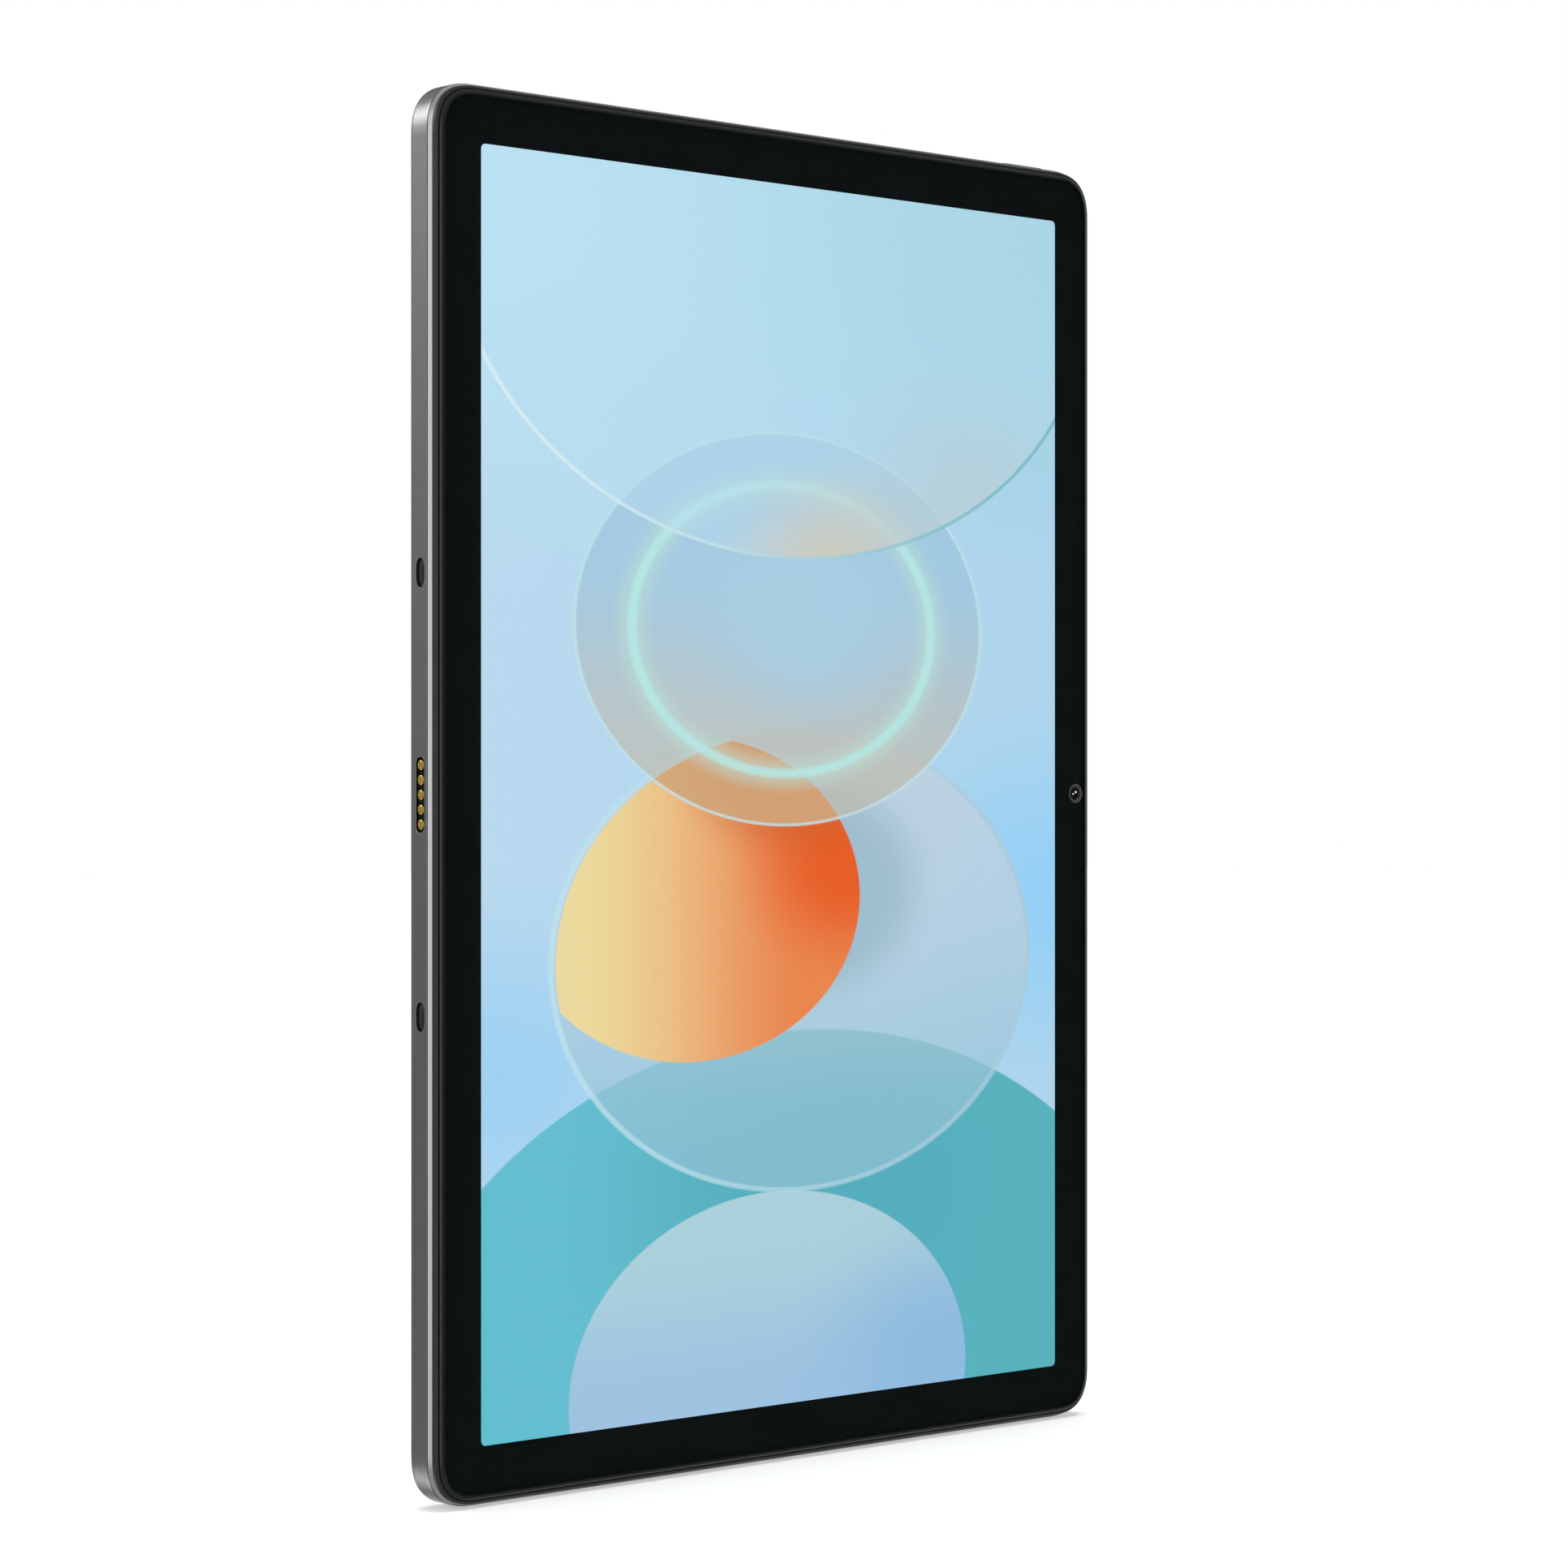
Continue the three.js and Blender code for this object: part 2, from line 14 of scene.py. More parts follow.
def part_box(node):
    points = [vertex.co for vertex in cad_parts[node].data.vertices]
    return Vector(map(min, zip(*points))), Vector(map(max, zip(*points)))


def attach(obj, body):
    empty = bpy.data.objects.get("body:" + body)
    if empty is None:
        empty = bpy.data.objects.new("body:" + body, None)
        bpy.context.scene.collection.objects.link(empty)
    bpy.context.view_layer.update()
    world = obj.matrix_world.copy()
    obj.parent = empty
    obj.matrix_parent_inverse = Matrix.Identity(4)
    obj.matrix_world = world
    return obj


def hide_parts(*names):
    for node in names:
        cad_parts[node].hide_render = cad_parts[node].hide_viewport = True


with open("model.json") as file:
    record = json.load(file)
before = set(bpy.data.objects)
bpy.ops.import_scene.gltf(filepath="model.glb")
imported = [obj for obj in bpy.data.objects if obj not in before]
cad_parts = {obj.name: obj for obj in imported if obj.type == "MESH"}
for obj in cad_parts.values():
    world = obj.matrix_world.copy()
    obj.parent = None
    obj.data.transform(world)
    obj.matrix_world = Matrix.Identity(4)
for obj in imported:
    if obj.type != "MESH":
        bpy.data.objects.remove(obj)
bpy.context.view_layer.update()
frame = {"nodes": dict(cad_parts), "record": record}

MM = 0.001
BODY = "tablet_body"

# ---- Places, taken from the frame ----
HOUSING_LOW, HOUSING_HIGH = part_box("rear_housing")
FRAME_LOW, FRAME_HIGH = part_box("mid_frame")
RIM_LOW, RIM_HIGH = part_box("front_rim")
GLASS_LOW, GLASS_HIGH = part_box("cover_glass")
PANEL_LOW, PANEL_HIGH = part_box("display_panel")
MIDDLE = (HOUSING_LOW + HOUSING_HIGH) / 2
HALF_WIDTH = (HOUSING_HIGH.x - HOUSING_LOW.x) / 2
HALF_HEIGHT = (HOUSING_HIGH.z - HOUSING_LOW.z) / 2
FRONT = GLASS_LOW.y
BACK = HOUSING_HIGH.y
WALL_TOP = HOUSING_LOW.y

# ---- Sizes that the frame's boxes don't give ----
CORNER = 8.2 * MM  # radius of the outline's corners
CORNER_STEPS = 28
CORNER_REACH = 1.25  # how far a corner reaches along the sides, in radii
CORNER_POWER = 2.6  # 2 would make the corners circular
FAR_IN = 30 * MM  # well inside the outline: it only gives a profile's first or last edge its direction
WALL = 1.8 * MM
FLOOR = BACK - 0.9 * MM  # inside face of the housing's back
BACK_ROUND = 1.45 * MM
CHAMFER = 0.45 * MM
CHAMFER_FOOT = FRONT + 2.35 * MM
PICTURE_HALF = (74.05 * MM, 118.45 * MM)
PICTURE_CORNER = 1.0 * MM
PICTURE_STRETCH = 1.38
PICTURE_BRIGHTNESS = 1.09
LIP = 0.14 * MM  # rounding on the mouth of each port
DOCK_LIP = 0.05 * MM  # the same, on the mouths of the dock's three slots
FIT = 0.3 * MM  # gap round a key, a socket or the card tray
PAST = 1 * MM  # how far a cutter runs past the surface it cuts
QUARTER = pi / 2
FILLET_STEPS = 4
SLOT_STEPS = 12


# ---- Mesh building ----
def mm(*values):
    return [value * MM for value in values]


def put(name, data):
    """A new object in the scene."""
    thing = bpy.data.objects.new(name, data)
    bpy.context.scene.collection.objects.link(thing)
    return thing


def mesh_piece(name, vertices, faces):
    mesh = bpy.data.meshes.new(name)
    mesh.from_pydata(vertices, [], faces)
    return put(name, mesh)


def outline(inset):
    """The tablet's outline shrunk by inset on every side, as (x, z) points.

    Its corners are superellipses, so that they leave the straight sides without a break in the shine.
    """
    points = []
    reach = CORNER * CORNER_REACH
    for corner, (sx, sz) in enumerate(((1, 1), (-1, 1), (-1, -1), (1, -1))):
        centre_x = MIDDLE.x + sx * (HALF_WIDTH - reach)
        centre_z = MIDDLE.z + sz * (HALF_HEIGHT - reach)
        for step in range(CORNER_STEPS + 1):
            turn = step / CORNER_STEPS if corner % 2 == 0 else 1 - step / CORNER_STEPS
            slope = turn * QUARTER
            if turn in (0, 1):
                along, up = 1 - turn, turn
            else:
                ratio = tan(slope) ** (1 / (CORNER_POWER - 1))
                along = (1 + ratio ** CORNER_POWER) ** (-1 / CORNER_POWER)
                up = ratio * along
            x = reach * along - inset * cos(slope)
            z = reach * up - inset * sin(slope)
            points.append((centre_x + sx * x, centre_z + sz * z))
    return points


def rounded_rectangle(half_x, half_z, radius):
    """A rounded rectangle about the tablet's middle, with as many points as outline() gives."""
    points = []
    for corner, (sx, sz) in enumerate(((1, 1), (-1, 1), (-1, -1), (1, -1))):
        for step in range(CORNER_STEPS + 1):
            angle = (corner + step / CORNER_STEPS) * QUARTER
            x = MIDDLE.x + sx * (half_x - radius) + radius * cos(angle)
            z = MIDDLE.z + sz * (half_z - radius) + radius * sin(angle)
            points.append((x, z))
    return points


def fillet(points, radii, ring=False):
    """Rounds the corners of a flat polyline. The radii are in millimetres, and 0 keeps a corner sharp."""
    count = len(points)
    result = []
    for i, (point, radius) in enumerate(zip(points, radii)):
        p = Vector(point)
        if radius <= 0 or (not ring and i in (0, count - 1)):
            result.append(tuple(p))
            continue
        radius *= MM
        before = (Vector(points[i - 1]) - p).normalized()
        after = (Vector(points[(i + 1) % count]) - p).normalized()
        half = before.angle(after) / 2
        reach = radius / tan(half)
        centre = p + (before + after).normalized() * radius / sin(half)
        start = p + before * reach - centre
        end = p + after * reach - centre
        swing = start.angle(end)
        for step in range(FILLET_STEPS + 1):
            t = step / FILLET_STEPS
            arm = start * sin((1 - t) * swing) + end * sin(t * swing)
            result.append(tuple(centre + arm / sin(swing)))
    return result


def loft(name, loops, ring=False):
    """Skins closed loops of equal length, in order. The ends are capped unless the loops form a ring."""
    size = len(loops[0])
    vertices = [tuple(point) for loop in loops for point in loop]
    faces = []
    for row in range(len(loops) if ring else len(loops) - 1):
        here, there = row * size, (row + 1) % len(loops) * size
        for i in range(size):
            j = (i + 1) % size
            faces.append((here + i, there + i, there + j, here + j))
    if not ring:
        faces.append(tuple(range(size)))
        faces.append(tuple(reversed(range((len(loops) - 1) * size, len(loops) * size))))
    piece = mesh_piece(name, vertices, faces)
    piece.data.validate()
    return piece


def sweep(name, profile, ring=False):
    """Carries a profile of (inset, y) points round the outline, from the display side to the back."""
    return loft(name, [[(x, y, z) for x, z in outline(inset)] for inset, y in profile], ring)


def on_axis(axis, centre, along, u, v):
    """The point at a distance along an axis, and at u and v across it from centre."""
    if axis == "x":
        return (along, centre.y + v, centre.z + u)
    if axis == "y":
        return (centre.x + u, along, centre.z + v)
    return (centre.x + u, centre.y + v, along)


def slot_loop(axis, centre, along, length, width, taper):
    """A round-ended loop across an axis. Its length runs along z on the x axis, and along x on the others.

    Its ends are half-ellipses, taper times as deep as a half-circle.
    """
    deep = min(width / 2 * taper, length / 2)
    half = length / 2 - deep
    points = []
    for end in (1, -1):
        for step in range(SLOT_STEPS + 1):
            angle = pi * (step / SLOT_STEPS - 0.5) + (0 if end == 1 else pi)
            u = end * half + deep * cos(angle)
            points.append(on_axis(axis, centre, along, u, width / 2 * sin(angle)))
    return points


def slot_piece(name, axis, centre, length, width, profile, ring=False, taper=1.0):
    """A round-ended bar along an axis. The profile holds (distance along, inset) pairs."""
    loops = [slot_loop(axis, centre, along, length - 2 * inset, width - 2 * inset, taper)
             for along, inset in profile]
    return loft(name, loops, ring)


def turned(name, axis, centre, profile, segments=64, ring=False):
    """A turned piece about an axis through centre. The profile holds (radius, distance along) pairs."""
    angles = [2 * pi * step / segments for step in range(segments)]
    loops = [[on_axis(axis, centre, along, radius * cos(a), radius * sin(a)) for a in angles]
             for radius, along in profile]
    return loft(name, loops, ring)


ALMOST_ALL = 0.999  # keeps a block's end loops from shrinking to points at the corners


def block(name, low, high, radius, steps=3):
    """A box with rounded edges, between two corners."""
    centre = (Vector(low) + Vector(high)) / 2
    half = (Vector(high) - Vector(low)) / 2
    loops = []
    for end in (-1, 1):
        for step in range(steps + 1):
            t = step / steps * QUARTER
            angle = t if end == -1 else QUARTER - t
            inset = radius * (1 - sin(angle))
            y = centre.y + end * (half.y - radius * (1 - cos(angle)))
            loop = []
            for corner, (sx, sz) in enumerate(((1, 1), (-1, 1), (-1, -1), (1, -1))):
                for turn in range(steps + 1):
                    a = (corner + turn / steps) * QUARTER
                    r = radius - inset * ALMOST_ALL
                    x = centre.x + sx * (half.x - radius) + r * cos(a)
                    z = centre.z + sz * (half.z - radius) + r * sin(a)
                    loop.append((x, y, z))
            loops.append(loop)
    return loft(name, loops)


def merge(name, pieces):
    """Joins pieces into one object that keeps each of them as a loose part of its mesh."""
    vertices, faces = [], []
    for piece in pieces:
        base = len(vertices)
        vertices += [tuple(v.co) for v in piece.data.vertices]
        faces += [tuple(base + i for i in polygon.vertices) for polygon in piece.data.polygons]
        bpy.data.objects.remove(piece)
    return mesh_piece(name, vertices, faces)


def face_out(piece):
    """Turns every face of a closed mesh outwards."""
    bm = bmesh.new()
    bm.from_mesh(piece.data)
    bmesh.ops.recalc_face_normals(bm, faces=bm.faces)
    bm.to_mesh(piece.data)
    bm.free()
    return piece


def combine(piece, others, operation):
    """Cuts the other pieces out of a piece, or joins them on, and removes them."""
    face_out(piece)
    tool = face_out(merge("tool", others))
    modifier = piece.modifiers.new("combine", "BOOLEAN")
    modifier.operation = operation
    modifier.solver = "EXACT"
    modifier.use_self = True
    modifier.object = tool
    evaluated = piece.evaluated_get(bpy.context.evaluated_depsgraph_get())
    mesh = bpy.data.meshes.new_from_object(evaluated)
    piece.modifiers.clear()
    piece.data = mesh
    bpy.data.objects.remove(tool)
    return piece


def cut(piece, cutters):
    return combine(piece, cutters, "DIFFERENCE")


def join(piece, others):
    return combine(piece, others, "UNION")


# ---- Materials ----
def rgb(red, green, blue):
    """A colour given as it shows on a display, from 0 to 255, as linear red, green, blue and alpha."""
    channels = [value / 255 for value in (red, green, blue)]
    linear = [c / 12.92 if c <= 0.04045 else ((c + 0.055) / 1.055) ** 2.4 for c in channels]
    return (*linear, 1.0)


# The Mix node has a set of sockets for each type of data, under the same names. These are its colour sockets.
COLOUR_A, COLOUR_B, COLOUR_RESULT = 6, 7, 2


def shaded(colour, factor):
    """A colour made lighter or darker."""
    return (*(min(1, c * factor) for c in colour[:3]), 1)


class Nodes:
    """Short calls for the nodes that the materials and the studio share."""

    def __init__(self, tree):
        self.tree = tree

    def feed(self, socket, value):
        if isinstance(value, bpy.types.NodeSocket):
            self.tree.links.new(value, socket)
        else:
            socket.default_value = value

    def node(self, kind, inputs=None, **settings):
        """A new node. Inputs gives its sockets a value, or the socket that feeds them."""
        node = self.tree.nodes.new(kind)
        for key, value in settings.items():
            setattr(node, key, value)
        for key, value in (inputs or {}).items():
            self.feed(node.inputs[key], value)
        return node

    def place(self, stretch):
        """Object coordinates, multiplied by stretch."""
        coordinates = self.node("ShaderNodeTexCoord").outputs["Object"]
        return self.node("ShaderNodeMapping", {"Vector": coordinates, "Scale": stretch}).outputs["Vector"]

    def noise(self, size, detail=2.0, stretch=(1, 1, 1), roughness=0.5):
        """Noise with features about size metres across."""
        return self.node("ShaderNodeTexNoise", {"Vector": self.place(stretch), "Scale": 1 / size,
                                                "Detail": detail, "Roughness": roughness}).outputs["Fac"]

    def cells(self, size, stretch=(1, 1, 1)):
        """Distance to the middle of the nearest of many points, about size metres apart."""
        inputs = {"Vector": self.place(stretch), "Scale": 1 / size}
        return self.node("ShaderNodeTexVoronoi", inputs).outputs["Distance"]

    def math(self, operation, a, b=0.0):
        return self.node("ShaderNodeMath", {0: a, 1: b}, operation=operation).outputs[0]

    def times(self, a, b):
        return self.math("MULTIPLY", a, b)

    def between(self, value, low, high, to_low=0.0, to_high=1.0):
        """Eases value from to_low to to_high as it passes from low to high."""
        inputs = {"Value": value, "From Min": low, "From Max": high, "To Min": to_low, "To Max": to_high}
        return self.node("ShaderNodeMapRange", inputs, interpolation_type="SMOOTHSTEP").outputs["Result"]

    def mix(self, factor, a, b):
        inputs = {"Factor": factor, COLOUR_A: a, COLOUR_B: b}
        return self.node("ShaderNodeMix", inputs, data_type="RGBA").outputs[COLOUR_RESULT]

    def bump(self, height, depth, below=None):
        """Bump of about depth metres, on top of any bump below it."""
        inputs = {"Strength": 1.0, "Distance": depth, "Height": height}
        if below is not None:
            inputs["Normal"] = below
        return self.node("ShaderNodeBump", inputs).outputs["Normal"]


class Look(Nodes):
    """A material. The settings are those of its Principled shader, with _ for each space in a name."""

    def __init__(self, name, **settings):
        self.material = bpy.data.materials.new(name)
        self.material.use_nodes = True
        super().__init__(self.material.node_tree)
        self.shader = self.tree.nodes["Principled BSDF"]
        self.set(**settings)

    def set(self, **settings):
        for key, value in settings.items():
            self.feed(self.shader.inputs[key.replace("_", " ")], value)

    def finish(self, colour, roughness, bump=None):
        """Sets the colour, the roughness and any bump, and gives the finished material."""
        self.set(Base_Color=colour, Roughness=roughness)
        if bump is not None:
            self.set(Normal=bump)
        return self.material


def anodised_metal(name, colour):
    """Bead-blasted, dyed aluminium: a fine even grain, faint cloudiness and a few rubbed spots."""
    look = Look(name, Metallic=1.0)
    grain = look.noise(0.24 * MM, detail=3.0, roughness=0.7)
    pits = look.cells(0.22 * MM)
    cloud = look.noise(22 * MM)
    rubbed = look.between(look.noise(3.5 * MM, detail=4.0), 0.60, 0.78)
    shade = look.mix(look.between(grain, 0.3, 0.7), shaded(colour, 0.78), shaded(colour, 1.18))
    shade = look.mix(look.times(cloud, 0.16), shade, shaded(colour, 0.8))
    roughness = look.between(grain, 0.25, 0.75, 0.31, 0.42)
    roughness = look.math("SUBTRACT", roughness, look.times(rubbed, 0.05))
    return look.finish(shade, roughness, look.bump(grain, 0.012 * MM, look.bump(pits, 0.006 * MM)))


def cut_metal():
    """Bright machined edge: hairline tool marks along the cut."""
    look = Look("bright_cut_edge", Metallic=1.0)
    lines = look.noise(0.05 * MM, stretch=(1, 8, 0.04))
    smear = look.noise(6 * MM, detail=3.0)
    shade = look.mix(look.between(lines, 0.3, 0.7), rgb(214, 214, 215), rgb(236, 236, 237))
    shade = look.mix(look.times(smear, 0.15), shade, rgb(196, 196, 199))
    return look.finish(shade, look.between(lines, 0.2, 0.8, 0.16, 0.27), look.bump(lines, 0.001 * MM))


def moulded(name, colour, low, high, grain_size, ior=1.5, gloss=0.5):
    """Moulded plastic with a fine texture, its roughness varying between low and high."""
    look = Look(name, IOR=ior, Specular_IOR_Level=gloss)
    grain = look.noise(grain_size)
    cloud = look.noise(40 * grain_size, detail=3.0)
    shade = look.mix(look.times(cloud, 0.5), colour, shaded(colour, 1.35))
    average = look.times(look.math("ADD", grain, cloud), 0.5)
    return look.finish(shade, look.between(average, 0.3, 0.7, low, high), look.bump(grain, 0.03 * grain_size))


def clear_glass():
    """Polished cover glass with the faintest smears in its shine."""
    look = Look("clear_glass", IOR=1.5, Transmission_Weight=1.0)
    smear = look.noise(9 * MM, detail=4.0)
    return look.finish(rgb(250, 252, 253), look.between(smear, 0.45, 0.8, 0.0, 0.03))


def border_ink():
    """Black print on the back of the glass, with a barely visible mottle."""
    look = Look("border_ink", Specular_IOR_Level=0.0)
    mottle = look.noise(0.4 * MM, detail=3.0)
    shade = look.mix(mottle, rgb(35, 43, 44), rgb(40, 49, 50))
    return look.finish(shade, look.between(mottle, 0.3, 0.7, 0.5, 0.62))


class Picture(Look):
    """A lit display. Places are millimetres from its middle, stretched across it by PICTURE_STRETCH."""

    def __init__(self):
        super().__init__("lit_display", Base_Color=rgb(6, 7, 8), Roughness=0.35, Specular_IOR_Level=0.0)
        across = 1 / MM / PICTURE_STRETCH
        self.point = self.node("ShaderNodeMapping", {
            "Vector": self.node("ShaderNodeTexCoord").outputs["Object"],
            "Location": (-MIDDLE.x * across, 0, -MIDDLE.z / MM),
            "Scale": (across, 0, 1 / MM),
        }).outputs["Vector"]
        split = self.node("ShaderNodeSeparateXYZ", {0: self.point})
        self.x, self.z = split.outputs["X"], split.outputs["Z"]

    def distance(self, x, z):
        inputs = {0: self.point, 1: (x, 0, z)}
        return self.node("ShaderNodeVectorMath", inputs, operation="DISTANCE").outputs["Value"]

    def glow(self, x, z, outer, inner=0.0):
        """1 within inner of a place, easing to 0 at outer."""
        return self.between(self.distance(x, z), outer, inner)

    def disc(self, x, z, radius, soft=0.3):
        """1 inside a disc and 0 outside it."""
        return self.glow(x, z, radius + soft / 2, radius - soft / 2)

    def hoop(self, x, z, radius, width, soft):
        """1 on a ring, fading out over soft on each side of it."""
        off = self.math("ABSOLUTE", self.math("SUBTRACT", self.distance(x, z), radius))
        return self.between(off, width / 2 + soft, width / 2)

    def outside(self, mask):
        return self.math("SUBTRACT", 1.0, mask)

    def lay(self, below, mask, colour, strength=1.0):
        """A colour over what is below it, where the mask is 1."""
        return self.mix(mask if strength == 1.0 else self.times(mask, strength), below, colour)


def display_picture():
    """A generic picture: frosted discs over a soft sky, one warm disc behind them and a teal hill."""
    p = Picture()
    across = p.between(p.x, -52, 52)  # 0 at the left edge and 1 at the right
    sky = p.mix(across, rgb(188, 220, 241), rgb(180, 217, 240))
    sky = p.lay(sky, p.glow(50, -22, 46), rgb(154, 212, 250))
    sky = p.lay(sky, p.glow(-50, -52, 40), rgb(163, 212, 245))
    sky = p.lay(sky, p.between(p.z, 30, 112), p.mix(across, rgb(194, 231, 249), rgb(162, 213, 228)))

    hill = p.disc(3, -121, 75, 0.4)
    teal = p.mix(across, rgb(102, 193, 210), rgb(90, 181, 192))
    image = p.lay(sky, hill, teal)
    shade = p.glow(4, -78, 46, 12)
    image = p.lay(image, p.times(hill, shade), rgb(78, 168, 184), 0.5)

    # The pale disc at the foot of the hill.
    foot = p.disc(-2, -114, 37)
    pale = p.mix(p.between(p.z, -84, -116), rgb(176, 212, 222), rgb(162, 198, 228))
    pale = p.lay(pale, p.glow(30, -112, 34), rgb(146, 190, 226))
    image = p.lay(image, foot, pale)

    # The frosted disc in the lower half, and the warm disc that shows through it.
    frosted = (3, -32, 45)
    inside = p.disc(*frosted)
    frost = p.mix(p.between(p.z, -70, -14), rgb(150, 198, 216), rgb(200, 212, 222))
    image = p.lay(image, inside, frost, 0.66)
    image = p.lay(image, p.times(inside, p.glow(4, -18, 27, 14)), rgb(140, 178, 194), 0.6)
    warm = p.times(p.disc(-17, -20, 31), p.disc(frosted[0], frosted[1], frosted[2] - 0.8))
    orange = p.mix(p.between(p.x, -40, 4), rgb(241, 221, 158), rgb(240, 136, 78))
    orange = p.lay(orange, p.glow(12, -14, 24, 4), rgb(237, 96, 36))
    orange = p.lay(orange, p.glow(0, 8, 24, 8), rgb(206, 88, 26), 0.75)
    image = p.lay(image, warm, orange)
    line = p.mix(across, rgb(196, 232, 240), rgb(172, 206, 222))
    image = p.lay(image, p.hoop(*frosted, 0.5, 0.45), line, 0.7)

    # The clear disc in the upper half, with a ring of light inside it.
    clear = (0, 32, 38)
    inside = p.disc(*clear)
    tint = p.mix(p.between(p.z, 48, 2), rgb(160, 200, 224), rgb(196, 190, 174))
    tint = p.lay(tint, p.glow(4, 36, 26, 6), rgb(170, 204, 224))
    image = p.lay(image, p.times(inside, p.outside(warm)), tint, 0.72)
    image = p.lay(image, p.times(inside, warm), rgb(214, 168, 122), 0.9)
    image = p.lay(image, p.hoop(0, 32, 28, 1.0, 4.0), rgb(190, 226, 214), 0.5)
    image = p.lay(image, p.hoop(0, 32, 28, 0.7, 1.0), rgb(186, 236, 232), 0.8)
    image = p.lay(image, p.hoop(*clear, 0.2, 0.35), rgb(198, 230, 234), 0.75)

    # The pale disc that comes in from the top.
    large = (1, 106, 60)
    inside = p.disc(*large)
    image = p.lay(image, inside, rgb(188, 224, 243), 0.45)
    image = p.lay(image, p.times(inside, p.glow(10, 42, 26, 2)), rgb(218, 204, 176), 0.8)
    image = p.lay(image, p.times(inside, p.glow(36, 58, 34)), rgb(190, 205, 207), 0.55)
    line = p.mix(across, rgb(222, 241, 246), rgb(124, 190, 200))
    image = p.lay(image, p.hoop(*large, 0.35, 0.3), line, 0.9)

    pixels = p.noise(0.1 * MM, detail=0.0)
    image = p.mix(p.times(pixels, 0.02), image, rgb(120, 150, 170))
    p.set(Emission_Color=image, Emission_Strength=PICTURE_BRIGHTNESS)
    return p.material


def gold_plate():
    """Gold plating, lightly worn."""
    look = Look("gold_plate", Metallic=1.0)
    wear = look.noise(0.35 * MM, detail=3.0)
    shade = look.mix(wear, rgb(232, 193, 84), rgb(244, 211, 102))
    return look.finish(shade, look.between(wear, 0.3, 0.7, 0.28, 0.42), look.bump(wear, 0.004 * MM))


def tinned_steel(name, colour, grain=0.12 * MM):
    """Stamped sheet metal with rolling marks."""
    look = Look(name, Metallic=1.0)
    marks = look.noise(grain, detail=3.0, stretch=(1, 1, 0.08))
    shade = look.mix(marks, shaded(colour, 0.85), colour)
    return look.finish(shade, look.between(marks, 0.2, 0.8, 0.24, 0.42), look.bump(marks, 0.004 * MM))


def circuit_board():
    """Solder mask over copper tracks."""
    look = Look("circuit_board")
    tracks = look.between(look.cells(1.3 * MM, stretch=(1, 0.2, 1)), 0.36, 0.46)
    weave = look.noise(0.3 * MM, detail=1.0)
    shade = look.mix(tracks, rgb(18, 58, 44), rgb(30, 88, 62))
    shade = look.mix(look.times(weave, 0.25), shade, rgb(10, 34, 28))
    return look.finish(shade, look.between(weave, 0.3, 0.7, 0.3, 0.45), look.bump(tracks, 0.02 * MM))


def pouch_foil():
    """Dark battery wrap with soft wrinkles."""
    look = Look("pouch_foil", Metallic=0.35)
    wrinkle = look.noise(7 * MM, detail=5.0, stretch=(1, 1, 0.5))
    shade = look.mix(look.noise(0.5 * MM), rgb(48, 50, 54), rgb(66, 68, 73))
    return look.finish(shade, look.between(wrinkle, 0.3, 0.7, 0.34, 0.5), look.bump(wrinkle, 0.2 * MM))


def ribbon_film():
    """Amber ribbon cable with copper lines along its length."""
    look = Look("ribbon_film")
    lines = look.noise(0.5 * MM, detail=1.0, stretch=(1, 0.01, 0.01))
    shade = look.mix(look.between(lines, 0.42, 0.58), rgb(120, 74, 24), rgb(176, 118, 52))
    return look.finish(shade, 0.38, look.bump(lines, 0.02 * MM))


def speaker_weave():
    """Fine black acoustic mesh, with painted shade in its openings."""
    look = Look("speaker_weave")
    open_part = look.between(look.cells(0.28 * MM), 0.1, 0.45)
    # The openings take the darker colour: painted shade seen through the mesh.
    shade = look.mix(open_part, rgb(44, 45, 48), rgb(12, 12, 13))
    return look.finish(shade, 0.72, look.bump(open_part, 0.05 * MM))


def flash_plastic():
    """Cream-coloured, part-clear plastic with a slight haze."""
    look = Look("flash_diffuser", Transmission_Weight=0.35, IOR=1.49)
    haze = look.noise(0.5 * MM)
    shade = look.mix(haze, rgb(238, 228, 190), rgb(246, 240, 214))
    return look.finish(shade, look.between(haze, 0.3, 0.7, 0.18, 0.3))


def lens_glass():
    """Coated lens: nearly black, with a deep tint."""
    look = Look("camera_lens", Coat_Weight=1.0, Coat_Roughness=0.02, IOR=1.52)
    tint = look.noise(1.2 * MM, detail=1.0)
    colour = rgb(9, 11, 18)
    return look.finish(look.mix(tint, colour, shaded(colour, 1.6)), look.between(tint, 0.3, 0.7, 0.01, 0.03))


def lens_bead():
    """Coated inner element of a lens, bright as polished metal with a cool tint."""
    look = Look("lens_bead", Metallic=1.0)
    tint = look.noise(0.2 * MM, detail=1.0)
    shade = look.mix(tint, rgb(232, 242, 248), rgb(250, 252, 254))
    return look.finish(shade, look.between(tint, 0.3, 0.7, 0.02, 0.06))


def light_guide():
    """White sheet with fine printed dots."""
    look = Look("light_guide")
    dots = look.cells(0.9 * MM)
    shade = look.mix(look.between(dots, 0.1, 0.4), rgb(246, 247, 248), rgb(226, 229, 232))
    return look.finish(shade, 0.55, look.bump(dots, 0.02 * MM))


def camera_trim():
    """Part-metallic grey with a fine texture."""
    look = Look("camera_trim_metal", Metallic=0.3)
    grain = look.noise(0.08 * MM)
    shade = look.mix(grain, rgb(150, 151, 154), rgb(178, 179, 182))
    return look.finish(shade, look.between(grain, 0.3, 0.7, 0.3, 0.42))


